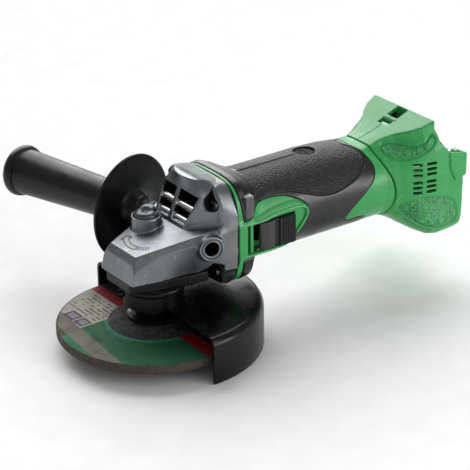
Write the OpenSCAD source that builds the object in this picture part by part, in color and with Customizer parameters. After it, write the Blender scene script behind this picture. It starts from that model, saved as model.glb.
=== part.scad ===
// Cordless angle grinder with a depressed-centre grinding wheel and a side handle.
// Millimetres. The origin is the free end of the spindle, +Z runs up the spindle,
// +X runs back along the motor to the battery end, and +Y is the side-handle side.

/* [Grinding wheel] */
// Outer diameter of the grinding wheel
wheel_d = 125; // [115:1:125]
// Thickness of the grinding wheel
wheel_t = 6; // [4:0.5:6]
// Arbor hole of the grinding wheel
arbor_d = 22.23; // [22.2:0.01:22.3]
// How far the centre of the wheel is raised above its rim
hub_rise = 3.5; // [3:0.5:4]

/* [Spindle] */
// Thread diameter of the spindle (M14)
thread_d = 14; // [14:14]
// Length of spindle that stands out below the nut
nose_stub = 3.5; // [3:0.5:4]
// Height of the motor axis above the spindle's free end
motor_axis_z = 67; // [67:0.5:68]

/* [Gears] */
// Teeth on the ring gear
ring_teeth = 37; // [37:37]
// Teeth on the pinion
pinion_teeth = 11; // [11:11]
// Pitch radius of the ring gear at its outer edge
ring_pitch_r = 18.9; // [18.9:18.9]

/* [Guard] */
// Outer radius of the wheel guard
guard_r = 69.6; // [69:0.1:71]
// Top of the guard's plate
guard_top = 25; // [24.5:0.5:25]
// Height of the guard's skirt
guard_h = 31; // [28:1:31]
// Sheet thickness of the guard
guard_t = 1.8; // [1.5:0.1:2]

/* [Body] */
// Diameter of the grip around the motor
barrel_d = 59; // [58:0.5:60]
// Height of the middle of the grip
barrel_z = 69.7; // [69:0.1:70]
// Where the gear case meets the motor housing
seam_x = 43; // [43:43]
// Where the motor housing meets the rear housing
rear_seam_x = 158; // [157:1:159]
// Rear end of the battery rails
rear_x = 228; // [227:1:230]

/* [Side handle] */
// Forward lean of the side handle
handle_lean = 15; // [14:0.5:16]
// Distance of the handle's tip from the middle of the tool
handle_end = 159; // [150:1:165]
// Radius of the hand guard disc on the handle
hand_guard_r = 35; // [32:1:36]

/* [Hidden] */
$fn = 64;

// Fits and small clearances
seat_gap = 0.05;
run_gap = 0.4;
eps = 0.01;

// Levels up the spindle
nut_flange_t = 4;
hub_z = nose_stub + nut_flange_t;
hub_top = hub_z + wheel_t;
rim_top = hub_top - hub_rise;
flange_t = 5;
shoulder_z = hub_top + flange_t;
cover_z = 22;
collar_z = guard_top;
collar_h = 9;
drum_z = collar_z + collar_h + run_gap;
cover_top = 47;
case_floor = 47;
bearing_z = 38;
bearing_w = 10;
gear_z = 53;
gear_top = gear_z + 6.8;
pitch_z = motor_axis_z - ring_pitch_r * pinion_teeth / ring_teeth;
tip_z = pitch_z + 0.7;

// Radii about the spindle
nut_r = 17.4;
inner_flange_r = 17;
neck_r = 17;
collar_r = 19.2;
drum_r = 21;
shaft_r = thread_d / 2;
thread_gap = 0.05;
lock_pos = [2.9, 10.6];
lock_r = 2.5;
lock_hole_r = norm(lock_pos);
chamber_r = 21.4;

// Along the motor, measured on X
pinion_x0 = 13.9;
shaft_x0 = 19.5;
motor_shaft_r = 4;
cone_angle = atan(pinion_teeth / ring_teeth);
pinion_bearing_x = 27;
pinion_bearing_w = 8;
fan_x = 50;
fan_w = 12;
core_x = [70, 104];
commutator_x = [112, 126];
rear_bearing_x = 131;
yoke_x = [65, 109];
yoke_r = 21.5;
core_r = 15.2;

// Side-handle bosses
boss_x = 31;
boss_z = 65.5;
boss_face = 37;
boss_r = 8.2;
boss_hole_r = 4.25;
boss_hole_depth = 15;

// Switch
slot_x = [52, 88];
slot_z = [52.6, 72.1];
knob_x = [60.3, 87];
knob_travel = 6;
bar_y = -23.7;
bar_t = 1.5;
bar_z = [62.2, 71.4];
rock_x = 82.5;
lead_y = [6, 10];
lead_z = 82;

// Signed power, for superellipse sections
function spow(v, p) = sign(v) * pow(abs(v), p);

// One section of a shell that runs along X: [x, half width, low z, high z, squareness]
function section(s, n) = [
    for (i = [0:n - 1])
        let (a = 360 * i / n, e = 2 / s[4])
            [s[0], s[1] * spow(cos(a), e),
             (s[2] + s[3]) / 2 + (s[3] - s[2]) / 2 * spow(sin(a), e)]];

// Solid lofted through sections along X
module loft(secs, n = 32) {
    m = len(secs);
    points = [for (s = secs) each section(s, n)];
    sides = [
        for (j = [0:m - 2], i = [0:n - 1])
            let (k = (i + 1) % n, a = j * n, b = (j + 1) * n)
                each [[a + i, b + k, a + k], [a + i, b + i, b + k]]];
    first = [for (i = [0:n - 1]) i];
    last = [for (i = [n - 1:-1:0]) (m - 1) * n + i];
    polyhedron(points, concat(sides, [first, last]), convexity = 6);
}

// The same sections drawn in by a wall, or let out by a negative one
function inset(secs, w) = [for (s = secs) [s[0], s[1] - w, s[2] + w, s[3] - w, s[4]]];

// Cylinder along +X
module rod_x(r, h, x = 0) {
    translate([x, 0, motor_axis_z])
        rotate([0, 90, 0])
            cylinder(r = r, h = h);
}

// Ring along +X about the motor axis
module ring_x(r_out, r_in, h, x) {
    difference() {
        rod_x(r_out, h, x);
        rod_x(r_in, h + 2, x - 1);
    }
}

// Ring along +Z about the spindle
module ring_z(r_out, r_in, h, z) {
    translate([0, 0, z])
        difference() {
            cylinder(r = r_out, h = h);
            translate([0, 0, -1])
                cylinder(r = r_in, h = h + 2);
        }
}

// Places children on the side-handle axis: +Z runs out of the boss on that side
module on_handle_axis(side) {
    translate([boss_x, 0, boss_z])
        rotate([0, 0, side * handle_lean])
            mirror([0, side > 0 ? 1 : 0, 0])
                rotate([90, 0, 0])
                    children();
}

// Button-head screw along +Z from its tip
module screw(r, l, head_r, head_h) {
    cylinder(r = r, h = l);
    translate([0, 0, l])
        difference() {
            cylinder(r = head_r, h = head_h);
            translate([0, 0, head_h - 1.2])
                cylinder(r = head_r * 0.5, h = 2, $fn = 6);
        }
}

// Outer ring of a ball bearing with its balls, axis +Z
module bearing_outer(r_out, r_in, w) {
    race = (r_out - r_in) * 0.28;
    ball_r = (r_out - r_in) * 0.18;
    mid_r = (r_out + r_in) / 2;
    difference() {
        cylinder(r = r_out, h = w);
        translate([0, 0, -1])
            cylinder(r = r_out - race, h = w + 2);
    }
    for (i = [0:7])
        rotate([0, 0, i * 45])
            translate([mid_r, 0, w / 2])
                sphere(r = ball_r, $fn = 24);
}

// Inner ring of the same bearing
module bearing_inner(r_out, r_in, w) {
    race = (r_out - r_in) * 0.28;
    difference() {
        cylinder(r = r_in + race, h = w);
        translate([0, 0, -1])
            cylinder(r = r_in, h = w + 2);
    }
}

// ---- Gear case ----

// Outside of the die-cast gear case, nose to seam
case_secs = [
    [-27.5, 14.5, case_floor, 60.8, 8],
    [-21.4, 17.5, case_floor, 64.8, 8],
    [-8, 23, case_floor, 67.6, 7],
    [8, 27, case_floor, 71, 6.5],
    [16, 28.8, case_floor, 75, 6],
    [25.5, 30.5, case_floor, 93.5, 3.4],
    [29, 31.2, 37, 100.5, 3.4],
    [38, 32.4, 32, 102, 3.8],
    [seam_x, 32.8, 30, 100.4, 4]];

// Air space at the back of the gear case
case_rear_secs = [
    [38, 28, 40, 96, 3.4],
    [seam_x + 1, 29.5, 36, 96, 3.6]];

module case_bosses() {
    for (side = [-1, 1])
        on_handle_axis(side)
            translate([0, 0, 20])
                cylinder(r = boss_r, h = boss_face - 20);
    translate([lock_pos[0], lock_pos[1], 64])
        cylinder(r = 10, h = 81 - 64);
}

module window_slots() {
    slot_h = 5;
    for (y0 = [-18.5, 2.5], k = [0:2])
        translate([10, y0, 75.6 + k * (slot_h + 1.6)])
            cube([16, 16, slot_h]);
}

module gear_case() {
    color("silver")
        difference() {
            union() {
                loft(case_secs, 40);
                case_bosses();
            }
            // gear chamber
            rotate_extrude()
                polygon([[0, case_floor - 1], [chamber_r, case_floor - 1],
                         [chamber_r, tip_z + 0.2], [13.4, tip_z + 2.6],
                         [13.4, gear_top + 0.9], [0, gear_top + 0.9]]);
            // pinion, its bearing and the chamber behind it
            translate([12.8, 0, motor_axis_z])
                rotate([0, 90, 0])
                    cylinder(r1 = 5.6, r2 = 7.3, h = 8);
            rod_x(7.3, 10, 20);
            rod_x(13 + seat_gap, 20, pinion_bearing_x);
            loft(case_rear_secs, 32);
            // air duct up to the windows
            translate([24, -17.5, 84])
                cube([seam_x - 23, 35, 12]);
            window_slots();
            // upper spindle bearing seat
            translate([0, 0, 60])
                cylinder(r = 6 + seat_gap, h = 7);
            // lock pin bore and the button's spring pocket
            translate([lock_pos[0], lock_pos[1], 60])
                cylinder(r = lock_r + 0.08, h = 22);
            translate([lock_pos[0], lock_pos[1], 71])
                cylinder(r = 7.9, h = 12);
            // threaded holes for the side handle
            for (side = [-1, 1])
                on_handle_axis(side)
                    translate([0, 0, boss_face - boss_hole_depth]) {
                        cylinder(r = boss_hole_r, h = boss_hole_depth + 1);
                        translate([0, 0, -1.2])
                            cylinder(r = boss_hole_r + 0.35, h = 1.2);
                    }
            // screw holes to the motor housing, with their head recesses
            for (p = case_screw_at)
                translate([25, p[0], p[1]])
                    rotate([0, 90, 0]) {
                        cylinder(r = 2.1, h = 25);
                        translate([0, 0, -15])
                            cylinder(r = 4.4, h = 22);
                    }
            // tapped holes for the bearing cover
            for (p = cover_screw_at)
                translate([p[0], p[1], case_floor - 1])
                    cylinder(r = 1.55, h = 9);
        }
}

case_screw_at = [[-24.1, 89.2], [24.1, 89.2], [-24.1, 44], [24.1, 44]];
cover_screw_at = [[-20, -12.3], [-20, 12.3], [19, -20], [19, 20]];

module gear_case_screws() {
    color("dimgray")
        for (p = case_screw_at)
            translate([49.9, p[0], p[1]])
                rotate([0, -90, 0])
                    screw(2, 18, 3.9, 2.6);
}

// Black cover below the gear case; it carries the lower spindle bearing
module bearing_cover() {
    color("dimgray")
        difference() {
            union() {
                translate([0, 0, 40])
                    linear_extrude(cover_top - 40)
                        polygon([[-26, -13], [-26, 13], [-8, 20.5], [13, 24.5], [24, 24.5],
                                 [24, -24.5], [13, -24.5], [-8, -20.5]]);
                translate([0, 0, drum_z])
                    cylinder(r = drum_r, h = 6);
                translate([0, 0, cover_z])
                    cylinder(r = neck_r, h = 16);
            }
            // bearing seat, opened into the gear chamber
            translate([0, 0, bearing_z])
                cylinder(r = 16 + seat_gap, h = 12);
            // seal pocket and spindle hole
            translate([0, 0, 30])
                cylinder(r = 12, h = 9);
            translate([0, 0, cover_z - 1])
                cylinder(r = 9.2, h = 20);
            for (p = cover_screw_at)
                translate([p[0], p[1], 0]) {
                    translate([0, 0, 39])
                        cylinder(r = 1.7, h = 9);
                    translate([0, 0, 38])
                        cylinder(r = 2.9, h = 4.4);
                }
        }
}

module bearing_cover_screws() {
    color("dimgray")
        for (p = cover_screw_at)
            translate([p[0], p[1], 54])
                mirror([0, 0, 1])
                    screw(1.5, 11.6, 2.6, 2.2);
}

module lower_bearing_outer() {
    color("lightgray")
        translate([0, 0, bearing_z])
            bearing_outer(16, 6.05, bearing_w);
}

module dust_seal() {
    color("tan")
        ring_z(11.9, 9.0, 6, 31);
}

module upper_bearing_outer() {
    color("lightgray")
        ring_z(6, 4.6, 4.2, 62.7);
}

module pinion_bearing_outer() {
    color("lightgray")
        translate([pinion_bearing_x + 0.1, 0, motor_axis_z])
            rotate([0, 90, 0])
                bearing_outer(13, 5.05, pinion_bearing_w);
}

// Plate that holds the front motor bearing in the gear case
module bearing_retainer() {
    color("gray")
        difference() {
            ring_x(16.5, 9, 1.6, 38.2);
            for (a = [45:90:315])
                translate([38, 14.2 * cos(a), motor_axis_z + 14.2 * sin(a)])
                    rotate([0, 90, 0])
                        cylinder(r = 1.4, h = 3);
        }
}

// ---- Motor housing and grip ----

// Outside of the green motor housing
barrel_r = barrel_d / 2;
housing_r = barrel_r - 1.6;
housing_secs = [
    [seam_x, 32.6, 30.2, 100.2, 4],
    [49, 32.4, 31, 99.4, 3.4],
    [60, 30, barrel_z - 29.5, barrel_z + 28.5, 2.6],
    [72, housing_r, barrel_z - housing_r, barrel_z + housing_r, 2.2],
    [120, housing_r, barrel_z - housing_r, barrel_z + housing_r, 2.1],
    [140, housing_r, barrel_z - housing_r - 0.4, barrel_z + housing_r - 1.5, 2.1],
    [rear_seam_x, housing_r, barrel_z - housing_r + 1, barrel_z + housing_r - 4, 2.1]];

// Inside of the motor housing
function inner_secs(w) = [
    for (s = housing_secs)
        [s[0] + (s[0] == seam_x ? -1 : s[0] == rear_seam_x ? 1 : 0),
         s[1] - w, s[2] + w, s[3] - w, s[4]]];

// Where the soft grip starts and ends along the housing
grip_x = [48.5, 153];
grip_wall = 1.5;

brush_x = 119;
pad_y = 31.6;
pad_z = 62;

module brush_bores(r) {
    for (side = [-1, 1])
        translate([brush_x, 0, motor_axis_z])
            rotate([side > 0 ? 0 : 180, 0, 0])
                translate([0, 0, 12])
                    cylinder(r = r, h = 30);
}

// Raised pad around the switch, with a round rear end
module switch_pad() {
    intersection() {
        union() {
            translate([seam_x + 4, -pad_y, pad_z - 14])
                cube([38, 20, 28]);
            translate([seam_x + 42, 20 - pad_y, pad_z])
                rotate([90, 0, 0])
                    cylinder(r = 14, h = 20);
        }
        translate([40, -50, 0])
            cube([80, 40, 120]);
    }
}

module motor_housing() {
    color("mediumseagreen")
        difference() {
            union() {
                difference() {
                    union() {
                        loft(housing_secs, 40);
                        switch_pad();
                    }
                    loft(inner_secs(2.6), 40);
                }
                // web that holds the rear motor bearing, posts for the gear case screws
                intersection() {
                    loft(inner_secs(2.1), 40);
                    union() {
                        translate([rear_bearing_x - 1, -40, 0])
                            cube([9, 80, 120]);
                        for (p = case_screw_at)
                            translate([seam_x, p[0], p[1]])
                                rotate([0, 90, 0])
                                    cylinder(r = 4.2, h = 9.5);
                    }
                }
            }
            // switch slot
            translate([slot_x[0], -40, slot_z[0]])
                cube([slot_x[1] - slot_x[0], 30, slot_z[1] - slot_z[0]]);
            brush_bores(6.6 + seat_gap);
            // bearing seat, slide bar slot and lead holes in the web
            rod_x(11 + seat_gap, 12, rear_bearing_x - 2);
            translate([rear_bearing_x - 2, bar_y - 0.6, bar_z[0] - 0.6])
                cube([11, bar_t + 1.2, bar_z[1] - bar_z[0] + 1.2]);
            for (y0 = lead_y)
                translate([rear_bearing_x - 2, y0, lead_z])
                    rotate([0, 90, 0])
                        cylinder(r = 1.8, h = 12);
            for (p = case_screw_at)
                translate([seam_x - 1, p[0], p[1]])
                    rotate([0, 90, 0])
                        cylinder(r = 2.05, h = 9);
        }
}

// What the grip leaves bare: the switch surround and the two rear corners
module grip_cutters() {
    translate([seam_x + 2, -50, pad_z - 14.4])
        cube([40, 40, 28.8]);
    translate([seam_x + 42, -10, pad_z])
        rotate([90, 0, 0])
            cylinder(r = 14.4, h = 40);
    for (side = [-1, 1])
        translate([160, side * 42, 45])
            rotate([90, 0, 0])
                translate([0, 0, -20])
                    cylinder(r = 34, h = 40);
}

module grip_overmould() {
    color([0.13, 0.13, 0.14])
        difference() {
            intersection() {
                loft(inset(housing_secs, -grip_wall), 40);
                translate([grip_x[0], -50, 0])
                    cube([grip_x[1] - grip_x[0], 100, 120]);
            }
            loft(inset(housing_secs, -seat_gap), 40);
            grip_cutters();
            brush_bores(6.6 + seat_gap);
        }
}

// Funnel that leads the fan's air forward
module air_guide() {
    color([0.1, 0.1, 0.1])
        difference() {
            intersection() {
                loft(inner_secs(2.7), 40);
                translate([63.5, -40, 0])
                    cube([3, 80, 120]);
            }
            rod_x(17.5, 8, 60);
        }
}

module magnet_yoke() {
    color("darkgray")
        ring_x(yoke_r, yoke_r - 2.2, yoke_x[1] - yoke_x[0], yoke_x[0] + 2);
}

module magnets() {
    color([0.25, 0.25, 0.27])
        for (a = [45:90:315])
            translate([yoke_x[0] + 6, 0, motor_axis_z])
                rotate([0, 90, 0])
                    rotate([0, 0, a - 33])
                        rotate_extrude(angle = 66)
                            translate([yoke_r - 5.4, 0])
                                square([3.1, yoke_x[1] - yoke_x[0] - 8]);
}

// Brush parts stand above and below the commutator: +Z is outward
module at_brush(side) {
    translate([brush_x, 0, motor_axis_z])
        rotate([side > 0 ? 0 : 180, 0, 0])
            children();
}

module brush_holders() {
    color("goldenrod")
        for (side = [-1, 1])
            at_brush(side)
                translate([0, 0, 12])
                    difference() {
                        cylinder(r = 6.4, h = side > 0 ? 13 : 11);
                        translate([-2.8, -4.3, -1])
                            cube([5.6, 8.6, 15]);
                    }
}

module carbon_brushes() {
    color([0.12, 0.12, 0.13])
        for (side = [-1, 1])
            at_brush(side)
                translate([-2.6, -4.1, 10.6])
                    cube([5.2, 8.2, 7]);
}

module brush_springs() {
    color("gold")
        for (side = [-1, 1], k = [0:1])
            at_brush(side)
                translate([0, 0, 18.4 + k * 2.2])
                    rotate_extrude($fn = 32)
                        translate([1.9, 0])
                            circle(r = 0.5, $fn = 16);
}

// Slotted caps, a little below the grip's surface
module brush_caps() {
    color([0.1, 0.1, 0.1])
        for (side = [-1, 1]) {
            base = side > 0 ? 25.1 : 23.1;
            top = side > 0 ? barrel_z + barrel_r - 0.8 - motor_axis_z
                           : motor_axis_z - barrel_z + barrel_r - 0.4;
            at_brush(side)
                translate([0, 0, base])
                    difference() {
                        cylinder(r = 6.6, h = top - base);
                        translate([-0.8, -5, top - base - 1.2])
                            cube([1.6, 10, 3]);
                    }
        }
}

module rear_bearing_outer() {
    color("lightgray")
        translate([rear_bearing_x, 0, motor_axis_z])
            rotate([0, 90, 0])
                bearing_outer(11, 4.05, 7);
}

// ---- Rear housing ----

// Outside of the rear housing below the shelf
rear_secs = [
    [rear_seam_x + 0.3, 28.6, barrel_z - 29, barrel_z + 24.6, 2.1],
    [170, 29.8, 38.5, 93, 2.3],
    [182, 33, 31.5, 91, 2.8],
    [194, 36.5, 26, 89, 3.6],
    [204, 38, 24.5, 87, 5],
    [206, 38, 24.5, 86, 5]];
shelf_edge = [203.5, 31.3, 106];
plate_x = [203, 212];
wing_t = 7;
rear_hw = 38;

// Shelf that rises from the barrel to a straight rear edge
module shelf(w) {
    hull() {
        translate([166 + w, -13 + w, 80])
            cube([1, 26 - 2 * w, 14.5 - w]);
        translate([shelf_edge[0] - 1 - w, -shelf_edge[1] + w, 82])
            cube([2, 2 * (shelf_edge[1] - w), shelf_edge[2] - 82 - w]);
    }
}

// Side wall that reaches back beside the battery, with its rail lip
module wing() {
    translate([0, rear_hw, 0])
        rotate([90, 0, 0])
            linear_extrude(wing_t)
                polygon([[196, 26], [222, 28], [225, 31], [225.5, 60], [rear_x, 60.5],
                         [rear_x, 81], [213, 85], [205, 94], [196, 92]]);
    translate([rear_x - 6, rear_hw - wing_t - 3, 36])
        cube([3, 5, 45]);
}

module screw_posts(r, from, to) {
    for (p = rear_screw_at)
        translate([p[0], to, p[1]])
            rotate([90, 0, 0])
                cylinder(r = r, h = to - from);
}

module rear_shell() {
    difference() {
        union() {
            difference() {
                union() {
                    loft(rear_secs, 40);
                    shelf(0);
                }
                loft([for (s = rear_secs)
                          [s[0] + (s[0] < 160 ? -1 : 0), s[1] - 3, s[2] + 3, s[3] - 3, s[4]]], 40);
                shelf(3);
            }
            translate([plate_x[0], -rear_hw + 1, 28])
                cube([plate_x[1] - plate_x[0], 2 * rear_hw - 2, 58]);
            for (side = [0, 1])
                mirror([0, side, 0])
                    wing();
            intersection() {
                screw_posts(4, -24, 26);
                union() {
                    loft(rear_secs, 40);
                    translate([plate_x[0], -40, 20])
                        cube([9, 80, 70]);
                }
            }
        }
        // opening behind the terminals
        translate([199, -18, 48])
            cube([30, 36, 22]);
        // two lanyard holes with a bar between them
        for (x0 = [181, 193.5])
            translate([x0, -5, 86])
                cube([8.5, 10, 30]);
        // air inlet slots, two columns of six on each side
        for (side = [-1, 1], c = [0, 1], r = [0:5])
            translate([182.5 + c * 11.5, side * 36 - 9, 57.6 + r * 3.6 + (r > 2 ? 2 : 0)])
                cube([8, 18, 1.9]);
        // screw holes, with head recesses from the right
        screw_posts(1.75, -14, 40);
        for (p = rear_screw_at)
            translate([p[0], p[2] + 20, p[1]])
                rotate([90, 0, 0])
                    cylinder(r = 3.5, h = 20);
    }
}

module rear_half(side) {
    intersection() {
        rear_shell();
        translate([150, side > 0 ? 0.05 : -60.05, 0])
            cube([100, 60, 130]);
    }
}

module rear_housing_left() {
    color("mediumseagreen")
        rear_half(-1);
}

module rear_housing_right() {
    color("mediumseagreen")
        rear_half(1);
}

// X, Z and head height of each rear housing screw
rear_screw_at = [[170, 48, 20], [173, 88, 16], [207.5, 36, 33], [207.5, 79, 33]];

module rear_housing_screws() {
    color("dimgray")
        for (p = rear_screw_at)
            translate([p[0], -13, p[1]])
                rotate([-90, 0, 0])
                    screw(1.7, p[2] + 13, 3.2, 2.2);
}

module switch_unit() {
    color([0.15, 0.15, 0.16])
        translate([147, -21, 58])
            cube([20, 14, 18]);
}

module control_board() {
    color("darkolivegreen")
        translate([170, -16, 60])
            cube([20, 32, 3]);
    color([0.12, 0.12, 0.12])
        translate([173, -12, 63])
            cube([14, 24, 6]);
}

module terminal_block() {
    color([0.1, 0.1, 0.1])
        translate([199.2, -17.7, 48.3])
            cube([9, 35.4, 21.4]);
}

blade_y = [-12, -4, 4, 12];

module contact_blades() {
    color("gold")
        for (y0 = blade_y)
            translate([208.2, y0 - 0.5, 50])
                cube([6, 1, 17]);
}

module lead_wires() {
    color("firebrick")
        for (y0 = lead_y) {
            translate([126.5, y0, lead_z])
                rotate([0, 90, 0])
                    cylinder(r = 1.2, h = 50, $fn = 24);
            translate([176.3, y0, 69.1])
                cylinder(r = 1.4, h = lead_z - 69.1 + 1.7, $fn = 24);
        }
}

// ---- Side handle ----

handle_profile = [
    [0, boss_face + 6.3], [9, boss_face + 6.3], [10.5, 46], [12.5, 49.5], [hand_guard_r - 1, 49.8],
    [hand_guard_r, 51], [hand_guard_r - 1, 53], [17, 56.5], [13.4, 60], [13.2, 80],
    [14.2, 110], [15.4, 138], [17.2, 146], [17.5, 151], [16, 156], [12, handle_end],
    [0, handle_end]];

module side_handle() {
    color([0.11, 0.11, 0.12])
        on_handle_axis(1)
            difference() {
                rotate_extrude()
                    polygon(handle_profile);
                cylinder(r = boss_hole_r, h = 70);
            }
}

module handle_stud() {
    color("lightgray")
        on_handle_axis(1) {
            translate([0, 0, boss_face - boss_hole_depth + 1])
                cylinder(r = boss_hole_r - seat_gap, h = 45);
            translate([0, 0, boss_face + 0.1])
                cylinder(r = 8, h = 6);
        }
}

// ---- Spindle group ----

module spindle() {
    color("lightgray")
        difference() {
            union() {
                cylinder(r = shaft_r, h = nose_stub - 0.2);
                cylinder(r = shaft_r - 0.2, h = shoulder_z + eps);
                translate([0, 0, shoulder_z])
                    cylinder(r = 8.9, h = bearing_z - shoulder_z);
                translate([0, 0, bearing_z - eps])
                    cylinder(r = 6, h = gear_z - bearing_z);
                translate([0, 0, gear_z - 2 * eps])
                    cylinder(r = 5.5, h = 7);
                translate([0, 0, 59.5])
                    cylinder(r = 3.5, h = 7);
            }
            // spanner flats on the shoulder
            for (side = [-1, 1])
                translate([-10, side > 0 ? 8 : -11, shoulder_z - 0.1])
                    cube([20, 3, 4]);
            // key seat
            translate([4.1, -1, gear_z + 0.5])
                cube([3, 2, 6]);
        }
}

module tooth_rows(count, phase) {
    for (i = [0:count - 1])
        rotate([0, 0, phase + i * 360 / count])
            children();
}

// Bevel ring gear, teeth up; the tooth lines point at the crossing of both axes
module ring_gear() {
    tooth_root = pitch_z - 0.95;
    outer_r = ring_pitch_r + 0.4;
    inner_r = 14.1;
    drop = tan(cone_angle);
    color("slategray")
        difference() {
            union() {
                rotate_extrude()
                    polygon([[4, gear_z + 0.02], [17, gear_z + 0.02], [outer_r, gear_z + 3],
                             [outer_r, tooth_root - 0.4 * drop],
                             [inner_r - 0.3, tooth_root + (ring_pitch_r - inner_r + 0.3) * drop],
                             [inner_r - 0.3, gear_top], [4, gear_top]]);
                translate([0, 0, motor_axis_z])
                    tooth_rows(ring_teeth, 0)
                        rotate([0, cone_angle, 0])
                            translate([(inner_r) / cos(cone_angle), 0, 0])
                                rotate([90, 0, 90])
                                    linear_extrude((outer_r - inner_r - 0.1) / cos(cone_angle))
                                        polygon([[-0.62, -1.1], [0.62, -1.1], [0.3, 0.75],
                                                 [-0.3, 0.75]]);
            }
            translate([0, 0, gear_z - 1])
                cylinder(r = 5.5 + seat_gap, h = 12);
            for (k = [0:3])
                rotate([0, 0, atan2(lock_pos[1], lock_pos[0]) + 90 * k])
                    translate([lock_hole_r, 0, gear_z - 1])
                        cylinder(r = lock_r + 0.4, h = 12);
            translate([4.5, -1.05, gear_z - 1])
                cube([2.6, 2.1, 12]);
        }
}

module gear_key() {
    color("gray")
        translate([4.15, -0.95, gear_z + 0.6])
            cube([2.8, 1.9, 5.6]);
}

module retaining_ring() {
    color("gray")
        ring_z(8.2, 6.05, 1, bearing_z + bearing_w + 0.2);
}

module lower_bearing_inner() {
    color("lightgray")
        translate([0, 0, bearing_z])
            bearing_inner(16, 6.05, bearing_w);
}

module upper_bearing_inner() {
    color("lightgray")
        ring_z(4.2, 3.55, 4.2, 62.2);
}

module inner_flange() {
    pilot_r = arbor_d / 2 - 0.1;
    color("gray")
        difference() {
            union() {
                translate([0, 0, hub_top])
                    rotate_extrude()
                        polygon([[0, 0], [inner_flange_r, 0], [inner_flange_r, 2.4],
                                 [14.2, 3.4], [12, flange_t], [0, flange_t]]);
                translate([0, 0, hub_top - 3])
                    cylinder(r = pilot_r, h = 3.1);
            }
            cylinder(r = shaft_r + thread_gap, h = 40);
        }
}

module grinding_wheel() {
    r = wheel_d / 2;
    rim_bottom = rim_top - wheel_t;
    color([0.27, 0.24, 0.22])
        difference() {
            rotate_extrude($fn = 128)
                polygon([[0, hub_z], [18.5, hub_z], [25.5, rim_bottom], [r - 0.8, rim_bottom],
                         [r, rim_bottom + 0.8], [r, rim_top - 0.6], [r - 0.6, rim_top],
                         [29.5, rim_top], [21.5, hub_top], [0, hub_top]]);
            translate([0, 0, -1])
                cylinder(r = arbor_d / 2, h = 30);
        }
}

module wheel_nut() {
    color("dimgray")
        difference() {
            union() {
                translate([0, 0, nose_stub])
                    cylinder(r = nut_r, h = nut_flange_t);
                translate([0, 0, hub_z - 0.1])
                    cylinder(r = arbor_d / 2 - 0.3, h = 2.6);
            }
            cylinder(r = shaft_r + thread_gap, h = 20);
            for (a = [0:90:270])
                rotate([0, 0, a])
                    translate([13.5, 0, nose_stub - 1])
                        cylinder(r = 2.1, h = 4);
        }
}

// ---- Armature group ----

module armature_shaft() {
    color("lightgray")
        rod_x(motor_shaft_r, 119, shaft_x0);
}

module armature_core() {
    color("slategray")
        difference() {
            rod_x(core_r, core_x[1] - core_x[0], core_x[0]);
            rod_x(motor_shaft_r + seat_gap, 60, 60);
            for (i = [0:11])
                translate([core_x[0] - 1, 0, motor_axis_z])
                    rotate([i * 30, 0, 0])
                        translate([0, -0.7, core_r - 1.5])
                            cube([core_x[1] - core_x[0] + 2, 1.4, 3]);
        }
}

module armature_windings() {
    color("peru") {
        difference() {
            rod_x(14, 3.4, core_x[0] - 3.5);
            rod_x(6, 6, core_x[0] - 5);
        }
        difference() {
            rod_x(14, 5.5, core_x[1] + 0.1);
            rod_x(6, 12, core_x[1] - 2);
        }
    }
}

module commutator() {
    color("orange")
        difference() {
            rod_x(10.3, commutator_x[1] - commutator_x[0], commutator_x[0]);
            rod_x(motor_shaft_r + seat_gap, 30, commutator_x[0] - 5);
            for (i = [0:15])
                translate([commutator_x[0] - 1, 0, motor_axis_z])
                    rotate([i * 22.5, 0, 0])
                        translate([0, -0.3, 9.6])
                            cube([commutator_x[1] - commutator_x[0] + 2, 0.6, 2]);
        }
}

module cooling_fan() {
    color([0.14, 0.14, 0.15])
        difference() {
            union() {
                rod_x(23.5, 1.8, fan_x + fan_w - 2);
                rod_x(9, fan_w, fan_x);
                for (i = [0:12])
                    translate([fan_x, 0, motor_axis_z])
                        rotate([i * 360 / 13, 0, 0])
                            translate([0, -0.7, 8.5])
                                cube([fan_w - 1, 1.4, 14.6]);
            }
            rod_x(motor_shaft_r + seat_gap, 40, fan_x - 5);
        }
}

module pinion() {
    length = ring_pitch_r + 0.3 - pinion_x0;
    root_small = pinion_x0 * tan(cone_angle) - 0.95;
    root_big = (pinion_x0 + length) * tan(cone_angle) - 0.95;
    color("slategray")
        difference() {
            union() {
                translate([pinion_x0, 0, motor_axis_z])
                    rotate([0, 90, 0])
                        rotate_extrude()
                            polygon([[0, 0], [root_small, 0], [root_big, length],
                                     [6.4, length + 0.6], [6.4, 26.9 - pinion_x0],
                                     [0, 26.9 - pinion_x0]]);
                translate([0, 0, motor_axis_z])
                    for (i = [0:pinion_teeth - 1])
                        rotate([(i + 0.5) * 360 / pinion_teeth, 0, 0])
                            rotate([0, cone_angle, 0])
                                translate([pinion_x0 / cos(cone_angle), 0, 0])
                                    rotate([90, 0, 90])
                                        linear_extrude(length / cos(cone_angle))
                                            polygon([[-0.55, 1.1], [0.55, 1.1],
                                                     [0.26, -0.8], [-0.26, -0.8]]);
            }
            rod_x(motor_shaft_r + seat_gap, 40, shaft_x0 - 0.3);
        }
}

module pinion_nut() {
    color("gray")
        difference() {
            translate([pinion_bearing_x + pinion_bearing_w + 0.4, 0, motor_axis_z])
                rotate([0, 90, 0])
                    cylinder(r = 7, h = 5, $fn = 6);
            rod_x(motor_shaft_r + seat_gap, 30, 30);
        }
}

module pinion_bearing_inner() {
    color("lightgray")
        translate([pinion_bearing_x + 0.1, 0, motor_axis_z])
            rotate([0, 90, 0])
                bearing_inner(13, 4.05, pinion_bearing_w);
}

module rear_bearing_inner() {
    color("lightgray")
        translate([rear_bearing_x, 0, motor_axis_z])
            rotate([0, 90, 0])
                bearing_inner(11, 4.05, 7);
}

// ---- Guard ----

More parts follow.
